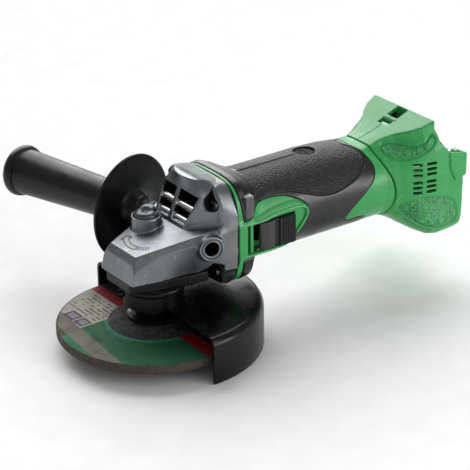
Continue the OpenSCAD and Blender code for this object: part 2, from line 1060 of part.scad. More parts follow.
module wheel_guard() {
    inner = guard_r - guard_t;
    low = guard_top - guard_h;
    color([0.1, 0.1, 0.1]) {
        rotate([0, 0, -91])
            rotate_extrude(angle = 181, $fn = 128)
                polygon([[collar_r - 1, guard_top - guard_t], [inner - 3, guard_top - guard_t],
                         [inner, guard_top - guard_t - 3], [inner, low],
                         [guard_r, low], [guard_r, guard_top - 4],
                         [guard_r - 4, guard_top], [collar_r - 1, guard_top]]);
        difference() {
            translate([0, 0, collar_z - 1.1])
                cylinder(r = collar_r, h = collar_h + 1.1);
            translate([0, 0, collar_z - 4])
                cylinder(r = neck_r + 0.3, h = collar_h + 8);
        }
    }
}

module guard_clamp_screw() {
    color("gray")
        rotate([0, 0, 150])
            translate([collar_r + 0.1, 0, collar_z + collar_h / 2])
                rotate([0, 90, 0])
                    cylinder(r = 2.4, h = 3);
}

// ---- Switch ----

module switch_slide_bar() {
    color([0.12, 0.12, 0.12])
        translate([79, bar_y, bar_z[0]])
            cube([67.5, bar_t, bar_z[1] - bar_z[0]]);
}

// Knob with a smooth front pad and a raised rear pad; its foot rocks on the slide bar
module switch_knob() {
    z0 = slot_z[0] + 0.5;
    color([0.12, 0.12, 0.12]) {
        translate([0, 0, z0])
            linear_extrude(slot_z[1] - slot_z[0] - 1)
                polygon([[knob_x[0], -28], [knob_x[0], -32.5], [knob_x[0] + 2, -33.8],
                         [knob_x[0] + 11, -33.4], [knob_x[0] + 13, -31.8],
                         [knob_x[0] + 15, -34.4], [knob_x[1] - 1, -35],
                         [knob_x[1], -34], [knob_x[1], -28]]);
        translate([rock_x - 3, -28.5, bar_z[0] + 1])
            cube([6, 28.5 + bar_y - 0.5, bar_z[1] - bar_z[0] - 2]);
    }
}

module switch_spring() {
    color("gold")
        for (k = [0:4])
            translate([67.2 + k * 2.7, bar_y + bar_t / 2, 66.8])
                rotate([0, 90, 0])
                    rotate_extrude($fn = 24)
                        translate([0.85, 0])
                            circle(r = 0.25, $fn = 16);
}

// ---- Spindle lock ----

button_top = 83;

module lock_button() {
    color([0.14, 0.14, 0.14])
        translate([lock_pos[0], lock_pos[1], 0])
            difference() {
                translate([0, 0, 77.5])
                    cylinder(r = 7.6, h = button_top - 77.5);
                translate([0, 0, 70])
                    cylinder(r = lock_r - 0.5, h = 10);
                translate([0, 0, button_top + 10.5])
                    sphere(r = 11.5);
            }
}

module lock_pin() {
    color("lightgray")
        translate([lock_pos[0], lock_pos[1], gear_top + 0.9]) {
            cylinder(r = lock_r, h = 77.4 - gear_top - 0.9);
            cylinder(r = lock_r - 0.55, h = 79.6 - gear_top - 0.9);
        }
}

module lock_spring() {
    turns = 3;
    color("gold")
        for (k = [0:turns - 1])
            translate([lock_pos[0], lock_pos[1], 72.2 + k * 2])
                rotate_extrude($fn = 32)
                    translate([4.5, 0])
                        circle(r = 0.55, $fn = 16);
}

gear_case();
gear_case_screws();
bearing_cover();
bearing_cover_screws();
lower_bearing_outer();
dust_seal();
upper_bearing_outer();
pinion_bearing_outer();
bearing_retainer();
motor_housing();
grip_overmould();
air_guide();
magnet_yoke();
magnets();
brush_holders();
carbon_brushes();
brush_springs();
brush_caps();
rear_bearing_outer();
rear_housing_left();
rear_housing_right();
rear_housing_screws();
switch_unit();
control_board();
terminal_block();
contact_blades();
lead_wires();
side_handle();
handle_stud();
spindle();
ring_gear();
gear_key();
retaining_ring();
lower_bearing_inner();
upper_bearing_inner();
inner_flange();
grinding_wheel();
wheel_nut();
armature_shaft();
armature_core();
armature_windings();
commutator();
cooling_fan();
pinion();
pinion_nut();
pinion_bearing_inner();
rear_bearing_inner();
wheel_guard();
guard_clamp_screw();
switch_slide_bar();
switch_knob();
switch_spring();
lock_button();
lock_pin();
lock_spring();
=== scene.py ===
"""Cordless angle grinder with side handle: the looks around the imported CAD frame.

Curved castings and mouldings are distance fields in millimetres, meshed with surface nets.
Turned pieces are revolved profiles. Everything is written to Blender in metres, in the row frame.
"""

import functools
import math

import bmesh
import bpy
import numpy as np
from mathutils import Matrix, Vector


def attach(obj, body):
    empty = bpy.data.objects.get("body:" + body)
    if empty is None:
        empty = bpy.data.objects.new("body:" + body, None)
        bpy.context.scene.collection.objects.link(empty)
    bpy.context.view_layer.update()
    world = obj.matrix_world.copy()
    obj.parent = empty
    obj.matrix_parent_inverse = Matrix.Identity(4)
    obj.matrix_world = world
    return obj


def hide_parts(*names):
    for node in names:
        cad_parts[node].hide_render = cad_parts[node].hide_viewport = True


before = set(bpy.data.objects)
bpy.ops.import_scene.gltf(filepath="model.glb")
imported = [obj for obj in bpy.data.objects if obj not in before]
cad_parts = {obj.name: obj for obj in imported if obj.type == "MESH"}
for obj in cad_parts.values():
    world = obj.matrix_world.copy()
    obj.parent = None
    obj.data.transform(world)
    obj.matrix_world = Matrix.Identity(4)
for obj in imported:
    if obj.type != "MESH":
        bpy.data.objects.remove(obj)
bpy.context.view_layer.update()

MM = 0.001
STEP = 0.55

# ---------------------------------------------------------------- driving dimensions, mm
MOTOR_Z = 67
BARREL_Z = 69.7
BARREL_R = 29.5
SEAM_X = 43
CAP_Z = 102
CASE_FLOOR = 46.9
HANDLE_LEAN = math.radians(15)
BOSS_ORIGIN = np.array([31.0, 0.0, 65.5])
LOCK_AT = (3.9, 11.9)
LOCK_PIN_AT = (2.9, 10.6)
CAP_AT = 119
SHELL_WALL = 3


# ---------------------------------------------------------------- distance fields
def smin(a, b, k):
    """Union of two fields with a fillet of about k."""
    h = np.maximum(k - np.abs(a - b), 0) / k
    return np.minimum(a, b) - h * h * k / 4


def smax(a, b, k=0.8):
    """Intersection of two fields with a rounded edge of about k."""
    return -smin(-a, -b, k)


def cut(a, b, k=0.6):
    """Field a with field b taken out of it."""
    return smax(a, -b, k)


def slab(v, lo, hi):
    """Distance to the interval lo..hi along one axis."""
    return np.maximum(lo - v, v - hi)


def line(u, v, a, b):
    """Distance from the line a-b in the (u, v) plane, positive on the left of a-b."""
    du, dv = b[0] - a[0], b[1] - a[1]
    n = math.hypot(du, dv)
    return ((v - a[1]) * du - (u - a[0]) * dv) / n


def drop(u, v, a, r_a, b, r_b):
    """Tapered capsule in the (u, v) plane: radius r_a at a, r_b at b."""
    du, dv = b[0] - a[0], b[1] - a[1]
    h = np.clip(((u - a[0]) * du + (v - a[1]) * dv) / (du * du + dv * dv), 0, 1)
    return np.hypot(u - a[0] - h * du, v - a[1] - h * dv) - (r_a + (r_b - r_a) * h)


def squircle(y, z, half_w, z_lo, z_hi, power):
    """Superellipse section in the (y, z) plane."""
    mid, half_h = (z_lo + z_hi) / 2, (z_hi - z_lo) / 2
    q = (np.abs(y / half_w) ** power + np.abs((z - mid) / half_h) ** power) ** (1 / power)
    return (q - 1) * np.minimum(half_w, half_h)


def sections(x, rows):
    """Section values at x from rows of (x, half width, low z, high z, power)."""
    table = np.array(rows, float)
    return [np.interp(x, table[:, 0], table[:, c]) for c in range(1, 5)]


def through(points, per=8, closed=False):
    """Catmull-Rom curve through 2-D points."""
    p = np.array(points, float)
    n = len(p)
    out = []
    for i in range(n if closed else n - 1):
        take = [(i + d) % n if closed else min(max(i + d, 0), n - 1) for d in (-1, 0, 1, 2)]
        a, b, c, d = p[take]
        for t in np.linspace(0, 1, per, endpoint=False):
            out.append(0.5 * (2 * b + (c - a) * t + (2 * a - 5 * b + 4 * c - d) * t * t
                              + (3 * b - a - 3 * c + d) * t ** 3))
    if not closed:
        out.append(p[-1])
    return np.array(out)


class Outline:
    """Signed distance to a closed smooth outline, read from a fine map of its surroundings."""

    def __init__(self, points, margin=8.0, pitch=0.3):
        loop = through(points, 6, closed=True)
        self.lo = loop.min(0) - margin
        self.pitch = pitch
        n = np.ceil((loop.max(0) + margin - self.lo) / pitch).astype(int) + 1
        u = self.lo[0] + np.arange(n[0])[:, None] * pitch
        v = self.lo[1] + np.arange(n[1])[None, :] * pitch
        best = np.full(n, 1e9)
        inside = np.zeros(n, bool)
        for a, b in zip(loop, np.roll(loop, -1, 0)):
            best = np.minimum(best, drop(u, v, a, 0, b, 0))
            crosses = (a[1] > v) != (b[1] > v)
            rise = b[1] - a[1] if b[1] != a[1] else 1e-9
            inside ^= crosses & (u < a[0] + (v - a[1]) * (b[0] - a[0]) / rise)
        self.map = np.where(inside, -best, best)

    def __call__(self, u, v):
        size = np.array(self.map.shape) - 1.001
        a = np.clip((u - self.lo[0]) / self.pitch, 0, size[0])
        b = np.clip((v - self.lo[1]) / self.pitch, 0, size[1])
        i, j = a.astype(int), b.astype(int)
        s, t = a - i, b - j
        m = self.map
        return ((m[i, j] * (1 - s) + m[i + 1, j] * s) * (1 - t)
                + (m[i, j + 1] * (1 - s) + m[i + 1, j + 1] * s) * t)


CORNERS = np.array([(i, j, k) for i in (0, 1) for j in (0, 1) for k in (0, 1)])
EDGES = [(a, b) for a in range(8) for b in range(a + 1, 8) if np.abs(CORNERS[a] - CORNERS[b]).sum() == 1]
BLOCK = 8


def sample(field, lo, cells, step):
    """Field values on a grid; only the blocks near the surface are worked out point by point."""
    blocks = [-(-c // BLOCK) for c in cells]
    mids = [lo[d] + (np.arange(blocks[d]) + 0.5) * BLOCK * step for d in range(3)]
    shape = [(-1, 1, 1), (1, -1, 1), (1, 1, -1)]
    coarse = field(*[m.reshape(s) for m, s in zip(mids, shape)])
    coarse = np.broadcast_to(coarse, blocks)
    values = coarse
    for d in range(3):
        values = np.repeat(values, BLOCK, d)
    values = np.pad(values, [(0, 1)] * 3, mode="edge").astype(np.float32)
    reach = BLOCK * step * 1.4
    near = np.argwhere(np.abs(coarse) < reach)
    offsets = np.arange(BLOCK + 1)
    for part in np.array_split(near, max(1, len(near) // 400)):
        index = [part[:, d, None] * BLOCK + offsets for d in range(3)]
        index = [index[0][:, :, None, None], index[1][:, None, :, None], index[2][:, None, None, :]]
        values[index[0], index[1], index[2]] = field(*[lo[d] + index[d] * step for d in range(3)])
    return values


def gradient(field, p, e):
    """Field value and slope at points, by central differences of width e."""
    g = np.empty_like(p)
    for d in range(3):
        q = [p[:, 0], p[:, 1], p[:, 2]]
        q[d] = p[:, d] + e
        ahead = field(*q)
        q[d] = p[:, d] - e
        g[:, d] = (ahead - field(*q)) / (2 * e)
    return g


def surface_net(field, lo, hi, step):
    """Quad mesh of the zero surface of a field inside the box lo..hi, with its normals."""
    lo = np.array(lo, float)
    cells = [int(math.ceil((h - l) / step)) + 1 for l, h in zip(lo, hi)]
    values = sample(field, lo, cells, step)
    inside = values < 0
    count = sum(inside[c[0]:inside.shape[0] - 1 + c[0], c[1]:inside.shape[1] - 1 + c[1],
                       c[2]:inside.shape[2] - 1 + c[2]].astype(np.uint8) for c in CORNERS)
    active = (count > 0) & (count < 8)
    cell = np.argwhere(active)
    ids = np.full(active.shape, -1, np.int32)
    ids[active] = np.arange(len(cell))
    f = np.stack([values[tuple((cell + c).T)] for c in CORNERS], 1)
    total = np.zeros((len(cell), 3))
    hits = np.zeros(len(cell))
    for a, b in EDGES:
        crossing = (f[:, a] < 0) != (f[:, b] < 0)
        fa, fb = f[crossing, a], f[crossing, b]
        t = (fa / (fa - fb))[:, None]
        total[crossing] += CORNERS[a] + t * (CORNERS[b] - CORNERS[a])
        hits[crossing] += 1
    p = lo + step * (cell + total / hits[:, None])
    for _ in range(2):
        value = field(p[:, 0], p[:, 1], p[:, 2])
        g = gradient(field, p, 0.02)
        push = value / np.maximum((g * g).sum(1), 0.2)
        p -= g * np.clip(push, -step, step)[:, None]
    quads = []
    for axis in range(3):
        b, c = (axis + 1) % 3, (axis + 2) % 3
        here = [slice(1, -1)] * 3
        there = [slice(1, -1)] * 3
        here[axis] = slice(0, -1)
        there[axis] = slice(1, None)
        first = inside[tuple(here)]
        change = first != inside[tuple(there)]
        at = np.argwhere(change)
        at[:, b] += 1
        at[:, c] += 1
        out = first[change]
        eb, ec = np.eye(3, dtype=int)[b], np.eye(3, dtype=int)[c]
        q = np.stack([ids[tuple((at - s).T)] for s in (eb * 0, eb, eb + ec, ec)], 1)
        quads.append(np.where(out[:, None], q, q[:, ::-1]))
    quads = np.concatenate(quads)
    quads = quads[(quads >= 0).all(1)]
    g = gradient(field, p, 0.08)
    normals = g / np.maximum(np.linalg.norm(g, axis=1), 1e-6)[:, None]
    return p, quads, normals


# ---------------------------------------------------------------- pieces
def add_mesh(name, points, faces, materials, index=None, normals=None):
    """Mesh object from points in mm; faces is an array of quads or a list of loops."""
    mesh = bpy.data.meshes.new(name)
    if isinstance(faces, np.ndarray):
        mesh.vertices.add(len(points))
        mesh.vertices.foreach_set("co", (np.asarray(points) * MM).astype(np.float32).ravel())
        mesh.loops.add(faces.size)
        mesh.loops.foreach_set("vertex_index", faces.astype(np.int32).ravel())
        mesh.polygons.add(len(faces))
        mesh.polygons.foreach_set("loop_start", np.arange(0, faces.size, 4, dtype=np.int32))
    else:
        mesh.from_pydata((np.asarray(points) * MM).tolist(), [], faces)
    for m in materials:
        mesh.materials.append(surfaces[m])
    if index is not None:
        mesh.polygons.foreach_set("material_index", np.asarray(index, np.int32))
    mesh.update(calc_edges=True)
    mesh.validate()
    mesh.shade_smooth()
    if normals is not None:
        mesh.normals_split_custom_set_from_vertices(normals.tolist())
    obj = bpy.data.objects.new(name, mesh)
    bpy.context.scene.collection.objects.link(obj)
    return obj


def settle(obj, body, stands_for=()):
    """Puts a piece on its body, in place of the CAD nodes it stands for."""
    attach(obj, body)
    if stands_for:
        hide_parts(*stands_for)


def moulded(name, body, field, lo, hi, materials, choose=None, step=STEP, stands_for=()):
    """Piece from a distance field; choose(x, y, z) gives each face's material number."""
    points, quads, normals = surface_net(field, lo, hi, step)
    index = None
    if choose is not None:
        mid = points[quads].mean(1)
        index = choose(mid[:, 0], mid[:, 1], mid[:, 2])
    settle(add_mesh(name, points, quads, materials, index, normals), body, stands_for)


def turned(name, body, profile, surface, origin=(0, 0, 0), axis=(0, 0, 1), start=0.0,
           sweep=360.0, segments=128, sharp=30, stands_for=()):
    """Piece turned about an axis: profile is a closed loop of (radius, height)."""
    axis = Vector(axis).normalized()
    side = Vector((1, 0, 0)) if abs(axis.x) < 0.7 else Vector((0, 1, 0))
    side = (side - axis * side.dot(axis)).normalized()
    up = axis.cross(side)
    full = sweep >= 360
    rings = segments if full else segments + 1
    points = []
    for i in range(rings):
        a = math.radians(start + sweep * i / segments)
        out = side * math.cos(a) + up * math.sin(a)
        points += [tuple(Vector(origin) + out * r + axis * h) for r, h in profile]
    n = len(profile)
    faces = []
    for i in range(segments):
        a, b = i * n, ((i + 1) % rings) * n
        for j in range(n):
            k = (j + 1) % n
            if max(profile[j][0], profile[k][0]) > 1e-6:
                faces.append([a + j, b + j, b + k, a + k])
    if not full:
        faces.append(list(range(n))[::-1])
        faces.append([(rings - 1) * n + j for j in range(n)])
    obj = add_mesh(name, points, faces, [surface])
    tidy_mesh(obj, sharp)
    settle(obj, body, stands_for)


def tidy_mesh(obj, sharp):
    """Joins doubled points, turns the faces outwards and marks edges sharper than the angle."""
    work = bmesh.new()
    work.from_mesh(obj.data)
    bmesh.ops.remove_doubles(work, verts=work.verts, dist=1e-6)
    bmesh.ops.dissolve_degenerate(work, edges=work.edges, dist=1e-7)
    bmesh.ops.recalc_face_normals(work, faces=work.faces)
    for edge in work.edges:
        edge.smooth = edge.calc_face_angle(0) < math.radians(sharp)
    work.to_mesh(obj.data)
    work.free()


def arc(cx, cy, r, start, end, steps=6):
    """Points of an arc in degrees, for turned profiles."""
    return [(cx + r * math.cos(math.radians(a)), cy + r * math.sin(math.radians(a)))
            for a in np.linspace(start, end, steps + 1)]


# ---------------------------------------------------------------- shader values
class Value:
    """A shader number that can be added, multiplied and compared in plain Python."""

    def __init__(self, tree, socket):
        self.tree, self.socket = tree, socket

    def math(self, kind, other=None):
        node = self.tree.nodes.new("ShaderNodeMath")
        node.operation = kind
        for place, item in enumerate((self, other)):
            if isinstance(item, Value):
                self.tree.links.new(item.socket, node.inputs[place])
            elif item is not None:
                node.inputs[place].default_value = item
        return Value(self.tree, node.outputs[0])

    def __add__(self, other):
        return self.math("ADD", other)

    def __sub__(self, other):
        return self.math("SUBTRACT", other)

    def __mul__(self, other):
        return self.math("MULTIPLY", other)

    def __lt__(self, other):
        return self.math("LESS_THAN", other)

    def __gt__(self, other):
        return self.math("GREATER_THAN", other)

    def within(self, lo, hi):
        return (self > lo) * (self < hi)

    def ramp(self, lo, hi, out_lo=0.0, out_hi=1.0):
        """Straight change from out_lo at lo to out_hi at hi, held outside."""
        node = self.tree.nodes.new("ShaderNodeMapRange")
        self.tree.links.new(self.socket, node.inputs["Value"])
        for key, number in zip(("From Min", "From Max", "To Min", "To Max"), (lo, hi, out_lo, out_hi)):
            node.inputs[key].default_value = number
        return Value(self.tree, node.outputs["Result"])


def linear(rgb):
    """Linear colour from 0-255 display values."""
    return tuple((c / 255 / 12.92) if c <= 10 else (((c / 255) + 0.055) / 1.055) ** 2.4 for c in rgb) + (1,)


class Paint:
    """Builds one procedural material on a Principled shader."""

    def __init__(self, name, base, metallic=0.0, specular=0.5):
        self.material = bpy.data.materials.new(name)
        self.material.use_nodes = True
        self.tree = self.material.node_tree
        self.shader = self.tree.nodes["Principled BSDF"]
        self.shader.inputs["Metallic"].default_value = metallic
        self.shader.inputs["Specular IOR Level"].default_value = specular
        self.where = self.tree.nodes.new("ShaderNodeTexCoord").outputs["Object"]
        self.base = linear(base)
        self.colour_socket = None

    def noise(self, scale, detail):
        node = self.tree.nodes.new("ShaderNodeTexNoise")
        self.tree.links.new(self.where, node.inputs["Vector"])
        node.inputs["Scale"].default_value = scale
        node.inputs["Detail"].default_value = detail
        return Value(self.tree, node.outputs["Fac"])

    def pebbles(self, scale):
        node = self.tree.nodes.new("ShaderNodeTexVoronoi")
        node.feature = "SMOOTH_F1"
        self.tree.links.new(self.where, node.inputs["Vector"])
        node.inputs["Scale"].default_value = scale
        return Value(self.tree, node.outputs["Distance"])

    def edges(self):
        """1 on the raised edges of a finely meshed piece."""
        node = self.tree.nodes.new("ShaderNodeNewGeometry")
        return Value(self.tree, node.outputs["Pointiness"]).ramp(0.52, 0.60)

    def place(self):
        """Position in mm as three shader values."""
        node = self.tree.nodes.new("ShaderNodeSeparateXYZ")
        self.tree.links.new(self.where, node.inputs[0])
        return [Value(self.tree, o) * 1000.0 for o in node.outputs]

    def over(self, mask, rgb):
        """Lays a colour over what is there, where mask is 1."""
        node = self.tree.nodes.new("ShaderNodeMix")
        node.data_type = "RGBA"
        self.tree.links.new(mask.socket, node.inputs["Factor"])
        a, b = [s for s in node.inputs if s.type == "RGBA"]
        if self.colour_socket is None:
            a.default_value = self.base
        else:
            self.tree.links.new(self.colour_socket, a)
        b.default_value = linear(rgb)
        self.colour_socket = [s for s in node.outputs if s.type == "RGBA"][0]

    def finish(self, rough, spread, patch, heights):
        """Links colour, roughness that varies by patch, and a bump from (value, depth mm) pairs."""
        self.tree.links.new(self.colour_socket, self.shader.inputs["Base Color"])
        value = self.noise(patch, 4).ramp(0.3, 0.7, rough - spread, rough + spread)
        self.tree.links.new(value.socket, self.shader.inputs["Roughness"])
        normal = None
        for height, depth in heights:
            node = self.tree.nodes.new("ShaderNodeBump")
            node.inputs["Strength"].default_value = 1.0
            node.inputs["Distance"].default_value = depth * MM
            self.tree.links.new(height.socket, node.inputs["Height"])
            if normal is not None:
                self.tree.links.new(normal, node.inputs["Normal"])
            normal = node.outputs["Normal"]
        self.tree.links.new(normal, self.shader.inputs["Normal"])
        return self.material


MOTTLE = 55


def plain_surface(name, dark, light, rough, metallic, grain, wear, specular=0.5, edge_worn=False):
    """Material with two mottled tones, worn spots, uneven gloss and a grain of (scale, depth mm)."""
    p = Paint(name, dark, metallic, specular)
    p.over(p.noise(MOTTLE, 5).ramp(0.35, 0.65), light)
    if wear:
        rubbed = p.noise(300, 4).ramp(0.56, 0.68, 0, 0.5) * p.noise(35, 2).ramp(0.45, 0.6)
        p.over((rubbed + p.edges() * 0.8).math("MINIMUM", 1.0) if edge_worn else rubbed, wear)
    return p.finish(rough, 0.08, MOTTLE * 1.7, [(p.noise(grain[0], 2), grain[1])])


def leather_surface(name, dark, light, rough, scale, depth, specular):
    """Surface with a pebbled, leather-like grain; the tops of the pebbles are lighter."""
    p = Paint(name, dark, specular=specular)
    pebbles = p.pebbles(scale)
    p.over(pebbles.ramp(0.25, 0.75), light)
    p.over(p.noise(60, 4).ramp(0.45, 0.75, 0.0, 0.4), light)
    return p.finish(rough, 0.07, 90, [(pebbles * -1.0, depth), (p.noise(2500, 2), 0.06)])


# name: dark tone, light tone, roughness, metallic, grain, wear, and where needed specular and edge wear
SURFACES = {
    "cast_metal": ((110, 113, 116), (122, 125, 128), 0.34, 0.9, (1800, 0.03), (150, 153, 155), 0.5, True),
    "bright_metal": ((176, 179, 181), (200, 202, 203), 0.22, 0.95, (2500, 0.004), (214, 215, 216)),
    "cap_metal": ((96, 104, 100), (106, 114, 110), 0.55, 0.3, (3000, 0.03), (128, 134, 130)),
    "button_metal": ((72, 74, 76), (88, 90, 92), 0.36, 0.85, (1500, 0.03), (130, 132, 134)),
    "bearing_metal": ((146, 148, 152), (166, 168, 171), 0.18, 0.98, (2200, 0.01), (190, 190, 192)),
    "steel": ((120, 122, 125), (150, 152, 154), 0.28, 0.95, (1200, 0.02), (205, 206, 208)),
    "dark_steel": ((36, 37, 40), (56, 57, 60), 0.28, 0.85, (1200, 0.03), (120, 120, 122)),
    "black_steel": ((5, 5, 6), (9, 9, 10), 0.28, 0.0, (1500, 0.03), (30, 30, 32), 0.25),
    "cover_black": ((4, 4, 5), (8, 8, 9), 0.3, 0.0, (1500, 0.03), (26, 26, 28), 0.22),
    # painted shade: near-black colour for openings, recesses, slots and inner faces that look dark only from
    # shade
    "painted_shade_black": ((4, 4, 5), (8, 8, 8), 0.7, 0.0, (900, 0.05), (20, 20, 20), 0.2),
    "laminated": ((86, 88, 92), (106, 108, 112), 0.36, 0.9, (1500, 0.08), (140, 140, 142)),
    "copper": ((176, 96, 58), (196, 116, 72), 0.3, 0.95, (900, 0.1), (214, 150, 104)),
    "brass": ((186, 146, 70), (204, 166, 90), 0.28, 0.95, (1300, 0.03), (222, 194, 130)),
    "ferrite": ((40, 40, 43), (54, 54, 57), 0.7, 0.2, (1100, 0.12), (74, 74, 76)),
    "carbon": ((26, 26, 28), (40, 40, 42), 0.6, 0.0, (1600, 0.08), (60, 60, 62)),
    "felt": ((120, 104, 80), (146, 128, 100), 0.92, 0.0, (700, 0.4), (160, 144, 116)),
    "board_green": ((22, 70, 38), (32, 88, 50), 0.4, 0.0, (900, 0.05), (60, 110, 72)),
    "wire_red": ((120, 22, 22), (140, 32, 30), 0.4, 0.0, (1800, 0.03), (160, 70, 66)),
    "green_plastic": ((46, 144, 74), (54, 156, 84), 0.32, 0.0, (2600, 0.02), (84, 168, 106), 0.4, True),
    "black_plastic": ((9, 9, 10), (15, 15, 17), 0.34, 0.0, (2600, 0.02), (38, 38, 40), 0.32),
    "knob_plastic": ((36, 36, 38), (46, 46, 48), 0.42, 0.0, (2600, 0.03), (58, 58, 60)),
    # painted highlight: lighter colour for the crests of the knob ribs
    "rib_crest_highlight": ((66, 66, 69), (80, 80, 83), 0.42, 0.0, (2600, 0.03), (58, 58, 60)),
    "cap_plastic": ((3, 3, 3), (6, 6, 6), 0.75, 0.0, (1800, 0.03), (30, 30, 32), 0.25),
    "grip_smooth": ((13, 13, 15), (20, 20, 22), 0.3, 0.0, (3000, 0.02), (56, 56, 58)),
    # painted sheen: grey colour for the black rubber tab, standing in for light on its flat face
    "grip_tab_sheen_grey": ((66, 67, 70), (80, 81, 84), 0.4, 0.0, (3000, 0.02), (110, 110, 112)),
    "floor": ((236, 236, 236), (240, 240, 240), 0.85, 0.0, (40, 0.02), None),
}
# name: dark tone, light tone, roughness, pebble scale, depth mm, specular
LEATHERS = {
    "grip_leather": ((9, 9, 11), (30, 30, 32), 0.42, 1250, 0.6, 0.32),
    "green_grained": ((26, 104, 50), (66, 168, 96), 0.34, 620, 0.7, 0.5),
}
surfaces = {name: plain_surface(name, *row) for name, row in SURFACES.items()}
surfaces.update((name, leather_surface(name, *row)) for name, row in LEATHERS.items())


# ---------------------------------------------------------------- gear case
WEDGE_TOP = 69.35
WEDGE_RISE = 0.2217
NOSE_FACE = ((-27, CASE_FLOOR), (-24.4, 60.4))
NOSE_CHAMFER = ((-24.4, 60.4), (-21.4, 64.6))
HUMP_FACE = ((16, 75), (24, 94))
HUMP_BROW_Z = 94
HUMP_LEAN = 8 / 19
CAP_SLOPE = ((39, CAP_Z), (43, 100))
SLOPE_UP = np.array([HUMP_FACE[1][0] - HUMP_FACE[0][0], HUMP_FACE[1][1] - HUMP_FACE[0][1]])
SLOPE_UP = SLOPE_UP / np.linalg.norm(SLOPE_UP)


def wedge(x, y, z):
    """Flat-sided nose of the gear case, wider to the rear, with a chamfer round its top."""
    ay = np.abs(y)
    top = WEDGE_TOP + WEDGE_RISE * x
    top_w = np.minimum(21.33 + x / 3, 31.2)
    ridge_w = np.minimum(23.43 + x / 3, 31.4) + 0.13 * np.clip(-8 - x, 0, 20)
    ridge_z = 65.8 + WEDGE_RISE * x
    foot_w = np.interp(x, [-27, -8, 14, 33], [18.2, 22.2, 22.7, 30.5])
    f = smax((z - top) * 0.976, (ay - top_w) * 0.857 + (z - top) * 0.514, 0.9)
    side = foot_w + (ridge_w - foot_w) * (z - CASE_FLOOR) / (ridge_z - CASE_FLOOR)
    side = side + 1.6 * np.clip((x - 4) / 18, 0, 1)
    f = smax(f, (ay - side) * 0.93, 0.6)
    f = smax(f, line(x, z, *NOSE_FACE), 1.0)
    f = smax(f, line(x, z, *NOSE_CHAMFER), 0.6)
    return smax(f, CASE_FLOOR - z, 1.0)


def hump(x, y, z):
    """Raised motor end of the gear case with its flat cap."""
    ay = np.abs(y)
    near = (ay - (0.958 * x - 2.9)) * 0.722
    far = (ay - (19.7 + 0.36 * (x - 16))) * 0.93
    above = z - HUMP_BROW_Z
    bow = np.clip(y - 3.5, -24, 24) ** 2 / 46
    bend = (above + np.sqrt(above ** 2 + 1.5)) / 2
    front = HUMP_FACE[1][0] + HUMP_LEAN * above + bend * ((1.3 + bow) / (CAP_Z - HUMP_BROW_Z) - HUMP_LEAN)
    f = (front - x) * 0.85
    f = smax(f, np.where(y < 0, near, far), 0.5)
    shoulder = np.where(y < 0, 19.5, 21.8) + (CAP_Z - z) * 0.676
    f = smax(f, (ay - shoulder) * 0.828, 2.5)
    f = smax(f, z - CAP_Z, 0.7)
    f = smax(f, line(x, z, *CAP_SLOPE), 0.8)
    f = smax(f, flange_skin(x, y, z), 1.5)
    return np.maximum(f, 65.5 + WEDGE_RISE * x - z)


def flange_skin(x, y, z):
    return squircle(y, z, 31 + 0.18 * (x - 33), 29.9, 102.4 - 0.2 * np.maximum(x - 33, 0), 4)


def flange(x, y, z):
    """Square-round flange that meets the motor housing."""
    f = smax(smax(flange_skin(x, y, z), x - 41.9, 1.6), 31.8 - x, 2)
    f = np.minimum(f, np.maximum(flange_skin(x, y, z) + 1.3, 31.8 - x))
    return smax(f, line(x, z, (43, 30), (29, 38)), 1.5)


def up_the_face(x, z):
    """Height up the sloping face from its foot."""
    return (x - HUMP_FACE[0][0]) * SLOPE_UP[0] + (z - HUMP_FACE[0][1]) * SLOPE_UP[1]


def windows(x, y, z):
    """The two openings side by side in the sloping face, as a flat field."""
    up = up_the_face(x, z)
    near = slab(y, -(11.0 + 0.306 * up), 2.6)
    far = slab(y, 6.2, 17.9 + 0.11 * up)
    return smax(np.minimum(near, far), slab(up, 0.2, 20), 0.8)


def window_bars(x, y, z):
    """Two rounded bars across the openings."""
    up = up_the_face(x, z)
    depth = np.abs(line(x, z, *HUMP_FACE) + 3.6) - 2.8
    lower = smax(slab(up, -0.6, 4.9), depth, 3.2)
    upper = smax(slab(up, 8.5, 13.4), depth, 3.2)
    return np.maximum(np.minimum(lower, upper), windows(x, y, z) - 0.6)


def screw_recess(y, z):
    """Teardrop recess beside the windows, on both sides."""
    return drop(np.abs(y), z, (24.1, 89.4), 4.1, (20.5, 101), 0.2)


def boss_coordinates(x, y, z, side):
    """Distance along a handle boss axis and radius about it."""
    axis = np.array([-math.sin(HANDLE_LEAN), side * math.cos(HANDLE_LEAN)])
    along = (x - BOSS_ORIGIN[0]) * axis[0] + y * axis[1]
    across = (x - BOSS_ORIGIN[0]) * axis[1] - y * axis[0]
    return along, np.hypot(across, z - BOSS_ORIGIN[2])


BOSS_FACE = 37
BOSS_RIM = 36
LOCK_TOP = 77.4
LOCK_DEPTH = 8.4
LOCK_RING_R = 9.7
LOCK_BORE_R = 8.5


